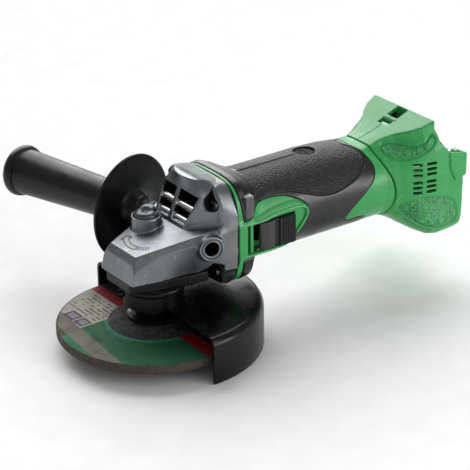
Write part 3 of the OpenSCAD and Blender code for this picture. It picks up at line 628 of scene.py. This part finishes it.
def gear_case_field(x, y, z):
    """Whole gear case: wedge, hump, flange, lock ring, windows, recesses, bosses and inner rooms."""
    ay = np.abs(y)
    blend = 1.0 + 1.5 * np.clip((ay - 13) / 6, 0, 1)
    f = smin(wedge(x, y, z), hump(x, y, z), blend)
    f = smin(f, flange(x, y, z), 4)
    lock_r = np.hypot(x - LOCK_AT[0], y - LOCK_AT[1])
    f = smin(f, smax(lock_r - LOCK_RING_R, slab(z, 60, LOCK_TOP), 0.9), 1.2)
    f = cut(f, np.maximum(lock_r - LOCK_BORE_R, LOCK_TOP - LOCK_DEPTH - z), 0.4)
    f = np.maximum(f, np.minimum(2.9 - np.hypot(x - LOCK_PIN_AT[0], y - LOCK_PIN_AT[1]), 82 - z))
    f = cut(f, np.maximum(windows(x, y, z), -line(x, z, *HUMP_FACE) - 9), 0.7)
    f = smin(f, window_bars(x, y, z), 0.3)
    f = cut(f, np.maximum(screw_recess(y, z), x - 33), 0.5)
    arch = np.maximum(line(x, z, (16, 46), (26, 53)), line(x, z, (26, 53), (36, 49.5)))
    f = cut(f, np.maximum(np.maximum(arch, x - 32.6), 20.5 - ay), 0.8)
    foot = smax(line(x, z, (29, 38), (18, 48)), ay - 21, 2)
    foot = np.maximum(np.maximum(foot, z - 50), x - 40)
    f = smin(f, smax(foot, line(x, z, (43, 30), (29, 38)), 1), 1)
    for side in (-1, 1):
        along, around = boss_coordinates(x, y, z, side)
        f = smin(f, smax(around - 8.2, slab(along, 30, BOSS_RIM), 1.0), 2.5)
        f = cut(f, smax(around - 6.8, BOSS_RIM - 1.1 - along, 0.5), 0.4)
        f = smin(f, smax(np.abs(around - 5.4) - 0.7, slab(along, 25, BOSS_RIM - 0.3), 0.6), 0.3)
        f = cut(f, np.maximum(around - 4.5, BOSS_FACE - 15 - along), 0.3)
    chamber = np.maximum(np.hypot(x, y) - 21.4, slab(z, 40, 60.5))
    chamber = np.minimum(chamber, np.maximum(np.hypot(y, z - MOTOR_Z) - 26.5, 30 - x))
    f = np.maximum(f, -chamber)
    return np.maximum(f, x - SEAM_X)


def gear_case_material(x, y, z):
    # painted shade: faces in the window openings, the teardrop screw recesses, the arches low on the sides,
    # the rear face, the underside and the handle boss bores take the near-black shade colour
    dark = (windows(x, y, z) < 0.25) & (line(x, z, *HUMP_FACE) < -1.0) & (window_bars(x, y, z) > 0.35)
    dark &= up_the_face(x, z) > -1
    dark |= (screw_recess(y, z) < 0.3) & (hump(x, y, z) < -1.6)
    dark |= (CASE_FLOOR - 14 < z) & (z < 53) & (np.abs(y) > 20) & (wedge(x, y, z) < -1.5) & (x < 34)
    dark |= (x > 41.95) | ((np.abs(y) < 28) & (z < CASE_FLOOR - 1) & (x < 34))
    for side in (-1, 1):
        along, around = boss_coordinates(x, y, z, side)
        dark |= (around < 4.7) & (along > 15) & (along < BOSS_RIM - 1)
    bars = (windows(x, y, z) < 1.0) & (window_bars(x, y, z) < 0.35)
    cap = (z > CAP_Z - 0.12) & (x < 39.2)
    return np.where(dark, 1, np.where(bars, 2, np.where(cap, 3, 0)))


moulded("gear_case_casting", "body", gear_case_field, (-29, -39, 28), (44.5, 39, 104),
        ["cast_metal", "painted_shade_black", "bright_metal", "cap_metal"], gear_case_material,
        stands_for=["gear_case"])


# ---------------------------------------------------------------- motor housing and grip
COLLAR = [(43, 32.4, 30.2, 101, 3.8), (50, 32.2, 30.4, 101.6, 3.8), (55.5, 31.9, 31, 99.4, 3.8),
          (60, 28.6, 36, 97.4, 3.2), (67, 26, 41, 94.2, 2.6)]
GRIP_START = ([0, 26, 40, 60], [45.7, 45.7, 47.6, 47.6])
GRIP_LAYER = 1.6
CAP_HOLE_R = 7
SPINE_Z = 96.1
SLOT_X = (51.6, 88.4)
SLOT_Z = (52.5, 72.3)
RAIL_X = (54.2, 56.4)
BODY_SECTIONS = [(43, 29.3, 38.8, 95.8, 2.1), (80, 29.3, 38.7, 95.8, 2.1), (120, 29.3, 38.7, 96.1, 2.1),
                 (140, 29.2, 38.7, 95.2, 2.1), (150, 29.2, 38.8, 93.9, 2.1), (160, 29.3, 39, 92.3, 2.1),
                 (166, 29.6, 39.2, 92.1, 2.1), (170, 30.2, 39.2, 92.4, 2.2), (176, 31.8, 37.8, 92.8, 2.6),
                 (182, 34, 34.8, 93.2, 3.2), (188, 35.9, 30.8, 94, 4.2), (194, 37, 27, 95, 5.4),
                 (200, 37.7, 23.9, 96.5, 6.6), (206, 37.9, 23, 97.5, 7.5), (228, 37.4, 24, 97.5, 8)]
SHELF_EDGE = (204, 31.3, 106.2)
SHELF_FOOT = (168.7, 92.6)
SHELF_X = [160, 166, 173, 181, 189, 195, 204]
SHELF_HALF = [10, 11, 12.3, 16.8, 25, 29.4, 31.4]


def flare(x, y, z):
    """Round barrel that widens to the rear housing."""
    half_w, lo, hi, power = sections(x, BODY_SECTIONS)
    return squircle(y, z, half_w, lo, hi, power)


def shelf(x, y, z):
    """Wedge that rises from the barrel to a straight rear edge."""
    ay = np.abs(y)
    top = line(x, z, SHELF_FOOT, (SHELF_EDGE[0], SHELF_EDGE[2]))
    flank = (ay - np.interp(x, SHELF_X, SHELF_HALF)) * 0.8
    f = smax(top, flank, 1.5)
    f = smax(f, x - SHELF_EDGE[0] + 0.06 * (SHELF_EDGE[2] - z), 1.2)
    return np.maximum(np.maximum(f, 74 - z), 158 - x)


def barrel(x, y, z):
    """Outer skin of the handle: a square-round collar, a round barrel and the flare."""
    half_w, lo, hi, power = sections(x, COLLAR)
    f = smin(flare(x, y, z), np.maximum(squircle(y, z, half_w, lo, hi, power), x - 68), 1.8)
    spine = smax(np.abs(y) - 1.6, np.abs(z - SPINE_Z) - 0.3, 0.6)
    f = smin(f, np.maximum(spine, slab(x, 56, 110)), 0.8)
    return smin(f, shelf(x, y, z), 6)


def girth(y, z):
    """Length round the barrel from its top line, positive on both sides."""
    return BARREL_R * np.arctan2(np.abs(y), z - BARREL_Z)


lobe_outline = Outline([(38, 41), (50, 41), (56.5, 39), (60, 34.5), (65, 31.8), (74, 31.2), (85, 33.2),
                        (94.5, 38.5), (99, 43), (99.9, 46.5), (98.4, 50), (94.9, 54.5), (90.5, 57.5),
                        (87.5, 59.5), (83, 62.2), (76, 63), (60, 63.2), (50, 62.8), (38, 62.8)])
panel_outline = Outline([(61, 0), (61, 14), (62, 27), (66, 28.6), (77.6, 28), (90, 30.8), (102, 35.6),
                         (113, 39.6), (124.5, 40.3), (139, 36.5), (150, 30.3), (154.3, 24.4), (155, 19),
                         (152.5, 11), (149, 5), (148, 0), (148, -8), (100, -8), (61, -8)])
rear_edge = through([(152.5, 0), (153, 6), (157, 19), (158.8, 31.5), (155.8, 40), (148, 47.5),
                     (138.5, 55.5), (134, 62), (135.5, 65.5), (151, 67.5), (153, 80), (153, 100)], 6)
seam_curve = through([(162.5, 0), (162.8, 8), (163.6, 16), (166, 31), (170.4, 45), (172, 54), (171.6, 62),
                      (170, 75), (168, 93)], 6)


def rear_seam(y, z):
    """Where the motor housing meets the rear housing, further back at the sides than on top."""
    return np.interp(girth(y, z), seam_curve[:, 1], seam_curve[:, 0])


def bare(x, y, z):
    """Where the grip leaves the green housing bare: negative inside those areas."""
    s = girth(y, z)
    lobe = np.where(y < 0, lobe_outline(x, s), 20.0)
    knob_room = np.maximum(np.maximum(slab(x, 50, 88.2), slab(z, 52, 73)), y + 20)
    lobe = np.minimum(lobe, knob_room)
    behind = (np.interp(s, np.maximum.accumulate(rear_edge[:, 1]), rear_edge[:, 0]) - x) * 0.75
    return np.minimum(np.minimum(lobe, behind), x - np.interp(s, *GRIP_START))


pad_outline = Outline([(38, 50), (50, 49.2), (60, 49), (72, 49.1), (81, 50.2), (88, 54.6), (94.5, 60.6),
                       (98.5, 66), (99.7, 70.5), (98, 74.8), (93, 77), (85, 77.4), (72, 76.6), (60, 74.6),
                       (38, 74)])


def switch_pad(x, y, z):
    """Raised surround of the slide switch on the near side, with a rounded lip."""
    f = smax(pad_outline(x, z), -y - 33.2, 3.2)
    return np.maximum(np.maximum(f, y + 20), 44 - x)


def switch_well(x, y, z):
    """Sunk floor that the switch knob sits in."""
    well = smax(smax(pad_outline(x, z) + 3.2, slab(x, 49.8, 97), 1.0), 52.4 - z, 0.8)
    return smax(well, y + 31.2, 0.8)


def hollow(x, y, z):
    """Space for the motor inside the barrel."""
    return np.maximum(np.maximum(np.hypot(y, z - MOTOR_Z) - 25.6, barrel(x, y, z) + 2.2), x - 180)


def housing_field(x, y, z):
    """Motor housing: barrel skin, sunk under the grip, with the switch pad, its well and slot."""
    f = barrel(x, y, z)
    under_grip = np.maximum(-bare(x, y, z) - 0.16, -(f + GRIP_LAYER + 0.1))
    f = cut(f, under_grip, 0.35)
    f = smin(f, smax(switch_pad(x, y, z), bare(x, y, z) + 1.0, 1.0), 2.0)
    f = cut(f, switch_well(x, y, z), 1.2)
    slot = smax(slab(x, *SLOT_X), slab(z, *SLOT_Z), 0.6)
    f = cut(f, np.maximum(slot, slab(y, -40, -24)), 0.4)
    rail = np.maximum(slab(x, *RAIL_X), np.maximum(slab(z, 52, 73), slab(y, -30.2, -26)))
    f = np.minimum(f, rail)
    f = np.maximum(f, CAP_HOLE_R - np.hypot(x - CAP_AT, y))
    f = np.maximum(f, -hollow(x, y, z))
    f = np.maximum(f, SEAM_X + 0.5 - x)
    return smax(f, (x - rear_seam(y, z) + 0.2) * 0.85, 1.1)


def grip_tab(x, y, z):
    """Flat rectangular pad on the near side of the collar."""
    return smax(smax(slab(x, 48.6, 55.2), slab(z, 77.6, 92.4), 0.8), slab(y, -33.3, -27), 0.8)


def grip_field(x, y, z):
    """Rubber layer on the barrel, with a groove round its grained panel."""
    skin = barrel(x, y, z) - 0.25
    groove = 0.95 * np.exp(-(panel_outline(x, girth(y, z)) / 0.7) ** 2) * (x > 62)
    f = smax(skin + groove, -(skin + GRIP_LAYER), 0.3)
    f = smax(f, -bare(x, y, z) + 0.22, 0.9)
    f = smin(f, grip_tab(x, y, z), 0.4)
    return np.maximum(f, CAP_HOLE_R + 0.2 - np.hypot(x - CAP_AT, y))


def grip_material(x, y, z):
    leather = (panel_outline(x, girth(y, z)) < -0.7) & (x > 64)
    # painted sheen: the black rubber tab is coloured mid grey, as it looks when it catches light
    return np.where(grip_tab(x, y, z) < 0.15, 2, np.where(leather, 1, 0))


def housing_material(x, y, z):
    # painted shade: faces deep in the switch slot and on the inside of the barrel take the near-black shade
    # colour
    slot_shade = (y < 0) & (y > -29.6) & (switch_well(x, y - 3, z) < 0.3) & (x > 50) & (x < 89) & (z > 51.5)
    slot_shade &= (z < 73) & ~((slab(x, *RAIL_X) < 0.3) & (y < -28))
    return np.where(slot_shade | (hollow(x, y, z) < 0.3), 1, 0)


moulded("motor_housing_moulding", "body", housing_field, (42, -35, 28), (174, 35, 102),
        ["green_plastic", "painted_shade_black"], housing_material, stands_for=["motor_housing"])
moulded("grip_moulding", "body", grip_field, (46, -35, 28), (159, 35, 103),
        ["grip_smooth", "grip_leather", "grip_tab_sheen_grey"], grip_material, stands_for=["grip_overmould"])


# ---------------------------------------------------------------- rear housing
LANYARD_X = (184.8, 202.6)
LANYARD_BAR = (192.2, 99.2, 2.7)
PLATE_X = (203, 212)


def convex(u, v, points, k=0.8):
    """Field of a convex outline given clockwise."""
    sides = [line(u, v, a, b) for a, b in zip(points, points[1:] + points[:1])]
    return functools.reduce(lambda f, side: smax(f, side, k), sides)


profile_outline = Outline([(140, 20), (206, 20), (215, 24), (221.5, 26.6), (224.4, 29.8), (225, 40),
                           (225.2, 56), (225.3, 64), (224.5, 74), (219, 78.5), (212, 84), (206, 92),
                           (203.5, 100), (202, 112), (140, 112)])


def wing(x, y, z):
    """Side wall that reaches back beside the battery, with an ear at its top and a rail lip."""
    ay = np.abs(y)
    f = smax(flare(x, y, z), profile_outline(x, z), 1.6)
    f = smax(f, 31 - ay, 1)
    ear = convex(x, z, [(211.5, 83.5), (226.6, 80.5), (226.4, 64.5), (217, 62.2), (212, 72)], 1.5)
    f = smin(f, smax(ear, slab(ay, 33, 39), 1.2), 0.6)
    f = cut(f, np.maximum(slab(x, 213.5, 223.5), np.maximum(slab(ay, 33.6, 36.6), 78.3 - z)), 0.4)
    rail = smax(slab(x, 221, 225), np.maximum(slab(z, 36, 81), slab(ay, 28, 33)), 0.6)
    return np.minimum(np.maximum(f, 196 - x), rail)


def vents(x, z):
    """Air slots in two columns of six, with a gap in the middle."""
    slots = []
    for column in (0, 1):
        for row in range(6):
            left = 184.7 + column * 9.6
            level = 60 + row * 3.6 + (1.6 if row > 2 else 0) - 0.4 * column
            slots.append(drop(x, z, (left, level), 1.05, (left + 4.6 + 1.3 * column, level - 0.3), 1.05))
    return functools.reduce(np.minimum, slots)


upper_panel = Outline([(170, 87.5), (173, 91), (179, 91.6), (187, 90.6), (195, 92.6), (200.5, 97),
                       (201.3, 93), (195, 88), (184.5, 84), (174, 84)], 6)
lower_panel = Outline([(176.5, 52), (184, 55), (196, 55.5), (209, 52.8), (216, 48.5), (219.4, 41),
                       (219, 33), (212.5, 30.4), (203, 31), (193, 34.5), (184, 41.5), (177.5, 48)], 6)


def grained_panels(x, z):
    return np.minimum(upper_panel(x, z), lower_panel(x, z))


def rear_field(x, y, z):
    """Hollow rear housing with its wings, end plate, vents, lanyard hole and grained panels."""
    ay = np.abs(y)
    skin = barrel(x, y, z)
    plate = smax(slab(x, *PLATE_X), np.maximum(slab(z, 28, 86), ay - 36), 1)
    f = smax(skin, x - 205, 1.2)
    shell = np.maximum(f, -(skin + SHELL_WALL))
    f = np.minimum(shell, plate)
    f = np.minimum(f, wing(x, y, z))
    d = grained_panels(x, z)
    f = f + np.where(ay > 12, 0.8 * np.exp(-(d / 0.6) ** 2) + 0.25 * np.clip(-d / 1.5, 0, 1), 0)
    f = cut(f, np.maximum(vents(x, z), 24 - ay), 0.3)
    f = cut(f, smax(slab(x, 199, 232), smax(slab(z, 48.3, 69.8), ay - 18, 1.5), 0.8), 0.6)
    hole = smax(slab(x, *LANYARD_X), ay - 5.1, 0.8)
    f = cut(f, np.maximum(hole, 86 - z), 0.4)
    bar = np.hypot(x - LANYARD_BAR[0], z - LANYARD_BAR[1]) - LANYARD_BAR[2]
    f = np.minimum(f, np.maximum(bar, ay - 6))
    return smax(f, (rear_seam(y, z) + 0.6 - x) * 0.85, 1.1)


def rear_material(x, y, z):
    grained = (grained_panels(x, z) < -0.5) & (np.abs(y) > 12)
    # painted shade: the inside faces of the shell, seen through its openings, take the near-black shade
    # colour
    inner = (barrel(x, y, z) < -SHELL_WALL + 0.4) & (x < 203.2)
    return np.where(inner, 2, np.where(grained, 1, 0))


for side, half in ((-1, "left"), (1, "right")):
    moulded("rear_housing_" + half + "_moulding", "body",
            lambda x, y, z, s=side: smax(rear_field(x, y, z), 0.1 - s * y, 0.3),
            (152, -41 if side < 0 else -1, 22), (230, 1 if side < 0 else 41, 108),
            ["green_plastic", "green_grained", "painted_shade_black"], rear_material,
            stands_for=["rear_housing_" + half])


# ---------------------------------------------------------------- switch knob, lock button, marks
KNOB_X = (60.3, 87)
KNOB_Z = (53.1, 71.6)
KNOB_TOP = ([60, 62, 66, 71, 73, 74.3, 75.2, 86, 87], [32, 33.2, 33.9, 33.4, 32, 32, 34.3, 34.8, 34.3])
RIBS_FROM = 75.6
RIB_PITCH = 1.3
BUTTON_R = 8.1
BUTTON_LOW = 75.2


def knob_ribs(x):
    """Wave of the ribs along the rear pad, 1 on a rib's crest."""
    return np.cos(2 * math.pi * (x - RIBS_FROM) / RIB_PITCH) * ((x > RIBS_FROM) & (x < KNOB_X[1] - 0.9))


def knob_material(x, y, z):
    # painted highlight: the crests of the ribs on the outer face are coloured lighter than the knob
    return np.where((knob_ribs(x) > 0.3) & (y < -33.6), 1, 0)


def knob_field(x, y, z):
    """Knob with a smooth front pad and a taller ribbed rear pad."""
    height = np.interp(x, *KNOB_TOP) + 0.6 * knob_ribs(x)
    f = smax(slab(x, *KNOB_X), slab(z, *KNOB_Z), 0.8)
    underside = y + np.interp(x, [68, 71], [30.6, 28])
    return np.maximum(smax(f, (-y - height) * 0.8, 0.8), underside)


def button_field(x, y, z):
    """Lock button: a disc with a raised oval pad and a dimple, hollow below for its spring."""
    u, v = x - LOCK_AT[0], y - LOCK_AT[1]
    rim = np.hypot(u, v) - BUTTON_R
    f = smax(rim, slab(z, BUTTON_LOW, 79.4), 1.6)
    f = smin(f, smax(np.hypot(u + 1, v + 0.8) - 5.8, slab(z, 76, 80.4), 1.6), 1.5)
    f = smin(f, smax(np.hypot(u - 2.6, v - 2) - 4.8, slab(z, 76, 82.2), 2.6), 2)
    f = smax(smax(f, rim, 0.6), BUTTON_LOW - z, 0.6)
    f = cut(f, np.maximum(np.hypot(x - LOCK_PIN_AT[0], y - LOCK_PIN_AT[1]) - 5.3, z - 77.6), 0.3)
    return cut(f, np.sqrt((u + 1.2) ** 2 + (v + 1) ** 2 + (z - 83.2) ** 2) - 3.6, 0.6)


moulded("switch_knob_moulding", "switch_knob", knob_field, (59.5, -36, 52), (88, -24, 73),
        ["knob_plastic", "rib_crest_highlight"], knob_material, step=0.28, stands_for=["switch_knob"])
moulded("lock_button_casting", "lock", button_field, (-6, 2, 73), (13, 21, 84),
        ["button_metal"], step=0.4, stands_for=["lock_button"])


def on_case_top(x, y, lift):
    return x, y, WEDGE_TOP + WEDGE_RISE * x + lift


def add_rotation_mark():
    """Raised arrow on the gear case that shows which way the spindle turns, with a row of ticks."""
    def polar(r, a):
        return r * math.cos(math.radians(a)), r * math.sin(math.radians(a))

    inner, outer, wing, head_at, tail_at = 14.4, 17.6, 2, 144, 200
    tip = polar((inner + outer) / 2, head_at - 12)
    strokes = []
    for r, wing_r in ((inner, inner - wing), (outer, outer + wing)):
        strokes += [(polar(r, a), polar(r, a + 7)) for a in range(head_at, tail_at, 7)]
        strokes += [(polar(r, head_at), polar(wing_r, head_at)), (polar(wing_r, head_at), tip)]
    strokes += [(polar(inner, a), polar(outer, a)) for a in range(tail_at, tail_at + 31, 6)]
    points, faces = [], []
    for a, b in strokes:
        along = np.subtract(b, a)
        side = np.array([-along[1], along[0]]) / np.linalg.norm(along) * 0.3
        base = len(points)
        for lift in (-0.4, 0.14):
            for corner in (np.add(a, side), np.subtract(a, side), np.subtract(b, side), np.add(b, side)):
                points.append(on_case_top(corner[0], corner[1], lift))
        faces += [[base + i for i in loop] for loop in
                  ((0, 1, 2, 3), (7, 6, 5, 4), (0, 4, 5, 1), (1, 5, 6, 2), (2, 6, 7, 3), (3, 7, 4, 0))]
    mark = add_mesh("rotation_mark", points, faces, ["dark_steel"])
    tidy_mesh(mark, 30)
    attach(mark, "body")


add_rotation_mark()


# ---------------------------------------------------------------- side handle
handle_axis = Vector((-math.sin(HANDLE_LEAN), math.cos(HANDLE_LEAN), 0))
handle_profile = ([(0, 41), (8.5, 41), (9.5, 42), (10.5, 46)] + arc(15.5, 46, 5, 180, 110, 4)
                  + [(24, 51.6), (33, 51.2)] + arc(34.2, 52.3, 1.1, 270, 420, 5)
                  + [(33, 54), (22, 55.2)] + arc(18.5, 60.5, 5.2, 285, 200, 5)
                  + [(13, 68), (13.1, 80), (14.1, 110), (15.3, 144.8), (15.6, 145.8), (16.4, 146.1)]
                  + arc(12.4, 150.1, 5.1, -50, 55, 8) + [(9, 157.6), (4, 158.2), (0, 158.3)])
turned("side_handle_moulding", "body", handle_profile, "black_plastic",
       tuple(BOSS_ORIGIN), handle_axis, stands_for=["side_handle"])


# ---------------------------------------------------------------- guard
GUARD_R = 69.6
GUARD_TOP = 25
GUARD_T = 1.8
GUARD_BEND = 5.5
guard_in = GUARD_R - GUARD_T
bend_at = (GUARD_R - GUARD_BEND, GUARD_TOP - 0.2 - GUARD_BEND)
guard_profile = ([(19, GUARD_TOP), (40, GUARD_TOP), (60, GUARD_TOP - 0.2)]
                 + arc(*bend_at, GUARD_BEND, 90, 0, 7)
                 + [(GUARD_R, 4), (GUARD_R, -5.2), (GUARD_R - 0.4, -6), (guard_in + 0.4, -6)]
                 + [(guard_in, -5.2), (guard_in, 4)]
                 + arc(*bend_at, GUARD_BEND - GUARD_T, 0, 90, 6)
                 + [(60, GUARD_TOP - 2), (19, GUARD_TOP - GUARD_T)])
turned("wheel_guard_pressing", "guard", guard_profile, "black_steel", start=-92, sweep=181,
       segments=120, stands_for=["wheel_guard"])
turned("guard_collar", "guard",
       [(17.3, 23.9), (19.2, 23.9), (19.2, 33.4), (18.7, 34), (17.8, 34), (17.3, 33.4)], "black_steel")


# ---------------------------------------------------------------- wheel
WHEEL_R = 62.5
WHEEL_T = 6
WHEEL_BORE_R = 12.2
HUB_Z = 7.5
RIM_TOP = 10.0
rim_low = RIM_TOP - WHEEL_T
hub_top = HUB_Z + WHEEL_T
RED = (138, 14, 20)


def label_material():
    """Grinding wheel face: abrasive rim, green paper with stripes, red bars, pale text panel."""
    p = Paint("wheel_label", (58, 52, 46), specular=0.3)
    x, y, z = p.place()
    r = (x * x + y * y).math("SQRT")
    upper = z > RIM_TOP - 1.2
    grit = p.noise(1500, 3)
    p.over(grit.ramp(0.45, 0.7), (92, 84, 74))
    paper = r.within(21, WHEEL_R - 1.1) * upper
    green = (x < -1.4) * (y < 17.8)
    p.over(paper * green, (22, 84, 56))
    p.over(paper * (x > -1.4), (40, 38, 38))
    p.over(paper * x.within(-45, -9.3) * (y > 17.8), (168, 162, 154))
    p.over(paper * x.within(-9.3, -1.4) * (y > 24), RED)
    p.over(paper * x.within(-1.3, 8.7) * (y < -24), RED)
    lean = x + y * -0.08
    p.over(paper * lean.within(-56.5, -45.5), (104, 99, 93))
    p.over(paper * (lean < -56.5) * (y < 15), (30, 104, 68))
    lines = x.math("MODULO", 3.2).math("ABSOLUTE") > 2.1
    broken = p.noise(260, 0) > 0.42
    p.over(paper * x.within(-33, -11) * y.within(20, 52) * lines * broken, (90, 84, 76))
    for lo, hi in ((30, 41), (19, 28.5)):
        p.over(paper * x.within(-43, -34.5) * y.within(lo, hi), (52, 50, 48))
        p.over(paper * x.within(-41.5, -36) * y.within(lo + 1.5, hi - 1.5), (128, 118, 132))
    p.over(paper * p.noise(120, 5).ramp(0.5, 0.8, 0, 0.35), (60, 56, 50))
    p.over(r.within(29, 32) * green * upper, (44, 116, 86))
    middle = (r < 29.5) * upper
    p.over(middle, (40, 39, 41))
    p.over(middle * p.noise(350, 4).ramp(0.5, 0.62, 0, 0.7), (74, 72, 74))
    return p.finish(0.72, 0.1, 120, [(grit, 0.25), (p.noise(500, 4), 0.12)])


surfaces["wheel_label"] = label_material()
wheel_profile = [(WHEEL_BORE_R, HUB_Z + 0.05), (18.3, HUB_Z), (25.5, rim_low), (WHEEL_R - 0.7, rim_low),
                 (WHEEL_R, rim_low + 0.7), (WHEEL_R, RIM_TOP - 0.5), (WHEEL_R - 0.5, RIM_TOP),
                 (30.5, RIM_TOP), (28.6, RIM_TOP + 0.4), (23, hub_top - 0.5), (21, hub_top),
                 (WHEEL_BORE_R, hub_top)]
turned("wheel_disc", "spindle", wheel_profile, "wheel_label", segments=160, sharp=20,
       stands_for=["grinding_wheel"])


# ---------------------------------------------------------------- bearing cover and brush caps
COVER_LOW = 40.2
SKIRT = [(-26, -13.5), (-26, 13.5), (-8, 20.8), (14, 25.5), (25, 26), (25, -26), (14, -25.5), (-8, -20.8)]
CAP_R = 6.5


def cover_field(x, y, z):
    """Black cover under the gear case: a skirt of the case's outline, a drum and a grooved neck."""
    r = np.hypot(x, y)
    skirt = convex(x, y, SKIRT, 1.5)
    f = smax(skirt, slab(z, COVER_LOW, CASE_FLOOR), 1.0)
    f = smin(f, smax(r - 20.8, slab(z, 34.6, 42), 0.8), 0.8)
    f = np.minimum(f, smax(r - 16.9, slab(z, 22.2, 36), 0.6))
    f = f + 0.5 * np.exp(-((z - 37.6) / 0.5) ** 2) * (z < 40)
    f = cut(f, np.maximum(r - 12.2, slab(z, 15, 60)), 0.3)
    for at_x, at_y in ((-20, -12.3), (-20, 12.3), (19, -20), (19, 20)):
        f = cut(f, np.maximum(np.hypot(x - at_x, y - at_y) - 2.9, z - 42.4), 0.3)
    return f


def cap_field(x, y, z):
    """Two brush caps with a screwdriver slot, sunk a little below the grip."""
    r = np.hypot(x - CAP_AT, y)
    f = np.minimum(smax(r - CAP_R, slab(z, 90, 94.9), 0.6), smax(r - CAP_R, slab(z, 39.3, 44), 0.6))
    slot = np.maximum(slab(x - CAP_AT, -0.8, 0.8), np.abs(y) - 5)
    return cut(f, np.maximum(slot, 27.1 - np.abs(z - 67.4)), 0.2)


# x, z and the y where the head starts, for each screw
SCREWS_AT = ((170, 48, 18), (172, 84.5, 10), (207.5, 36, 33), (207.5, 79, 33))


def rear_screws_field(x, y, z):
    """Four long screws that join the rear halves, with cross recesses."""
    screws = []
    for at_x, at_z, head in SCREWS_AT:
        r = np.hypot(x - at_x, z - at_z)
        shank = np.maximum(r - 1.7, slab(y, -13, head + 1))
        screw = np.minimum(smax(r - 3, slab(y, head, head + 2), 0.5), shank)
        cross = np.minimum(np.abs(x - at_x), np.abs(z - at_z)) - 0.4
        screws.append(cut(screw, np.maximum(np.maximum(cross, r - 1.9), head + 0.9 - y), 0.1))
    return functools.reduce(np.minimum, screws)


moulded("rear_screw_set", "body", rear_screws_field, (165, -15, 31), (213, 37, 90),
        ["dark_steel"], step=0.45, stands_for=["rear_housing_screws"])
moulded("bearing_cover_casting", "body", cover_field, (-27.5, -27.5, 20.5), (26.5, 27.5, 48),
        ["cover_black"], stands_for=["bearing_cover"])
moulded("brush_cap_mouldings", "body", cap_field, (111, -8, 38), (127, 8, 97),
        ["cap_plastic"], step=0.4, stands_for=["brush_caps"])

CAD_SURFACES = {
    "dark_steel": ("wheel_nut", "inner_flange", "gear_case_screws", "bearing_cover_screws",
                   "guard_clamp_screw", "lock_spring", "switch_spring", "retaining_ring", "ring_gear",
                   "pinion", "gear_key", "pinion_nut"),
    "steel": ("spindle", "handle_stud", "lock_pin", "armature_shaft", "brush_springs", "bearing_retainer",
              "magnet_yoke", "contact_blades"),
    "bearing_metal": [place + "_bearing_" + ring for place in ("lower", "upper", "pinion", "rear")
                      for ring in ("outer", "inner")],
    "laminated": ("armature_core",), "ferrite": ("magnets",), "felt": ("dust_seal",),
    "copper": ("armature_windings", "commutator"), "brass": ("brush_holders",), "carbon": ("carbon_brushes",),
    "board_green": ("control_board",), "wire_red": ("lead_wires",),
    "black_plastic": ("terminal_block", "switch_unit", "switch_slide_bar", "cooling_fan", "air_guide"),
}
for surface, names in CAD_SURFACES.items():
    for name in names:
        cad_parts[name].data.materials.clear()
        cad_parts[name].data.materials.append(surfaces[surface])


# ---------------------------------------------------------------- stage
WORLD_LIGHT = 0.36
KEY_LIGHT = 3.4
KEY_FROM = (0.42, 0.74, 0.72)
FILL_LIGHT = 7
FILL_FROM = (0.5, -1.5, 0.9)
SIDE_LIGHT = 5
SIDE_FROM = (0.75, -1.0, 0.14)
FLOOR_Z = -6.4
FLOOR_HALF = 60000
CAMERA_AT = (-0.6119, -0.9515, 0.5919)
CAMERA_TURN = (-35.37, 24.87, -0.73)
SENSOR = 36
LENS = 153.19


def add_light(name, kind, energy, at):
    """Adds a light turned to the middle of the tool."""
    light = bpy.data.lights.new(name, kind)
    light.energy = energy
    lamp = bpy.data.objects.new(name, light)
    lamp.location = at
    lamp.rotation_mode = "QUATERNION"
    lamp.rotation_quaternion = (Vector((0.06, 0, 0.05)) - Vector(at)).to_track_quat("-Z", "Y")
    bpy.context.scene.collection.objects.link(lamp)
    return light


def add_stage():
    """Pale floor under the guard's edge, an even sky and three soft lights."""
    signs = ((-1, -1), (1, -1), (1, 1), (-1, 1))
    corners = [(FLOOR_HALF * a, FLOOR_HALF * b, FLOOR_Z) for a, b in signs]
    floor = add_mesh("floor", corners, [[0, 1, 2, 3]], ["floor"])
    world = bpy.data.worlds.new("studio")
    world.use_nodes = True
    world.node_tree.nodes["Background"].inputs["Color"].default_value = (1, 1, 1, 1)
    world.node_tree.nodes["Background"].inputs["Strength"].default_value = WORLD_LIGHT
    bpy.context.scene.world = world
    add_light("key", "SUN", KEY_LIGHT, KEY_FROM).angle = math.radians(62)
    add_light("fill", "AREA", FILL_LIGHT, FILL_FROM).size = 1.2
    add_light("side", "AREA", SIDE_LIGHT, SIDE_FROM).size = 0.5


def add_camera():
    """Camera at the photo's angle and distance."""
    azimuth, elevation, roll = (math.radians(v) for v in CAMERA_TURN)
    back = Vector((math.sin(azimuth) * math.cos(elevation), -math.cos(azimuth) * math.cos(elevation),
                   math.sin(elevation)))
    right = Vector((math.cos(azimuth), math.sin(azimuth), 0))
    up = back.cross(right)
    turned_right = right * math.cos(roll) + up * math.sin(roll)
    turned_up = up * math.cos(roll) - right * math.sin(roll)
    data = bpy.data.cameras.new("camera")
    data.sensor_width = SENSOR
    data.lens = LENS
    camera = bpy.data.objects.new("camera", data)
    basis = [turned_right, turned_up, back]
    matrix = [[basis[c][r] for c in range(3)] + [at] for r, at in enumerate(CAMERA_AT)]
    camera.matrix_world = Matrix(matrix + [[0, 0, 0, 1]])
    bpy.context.scene.collection.objects.link(camera)
    bpy.context.scene.camera = camera


add_stage()
add_camera()
bpy.context.scene.view_settings.view_transform = "Standard"
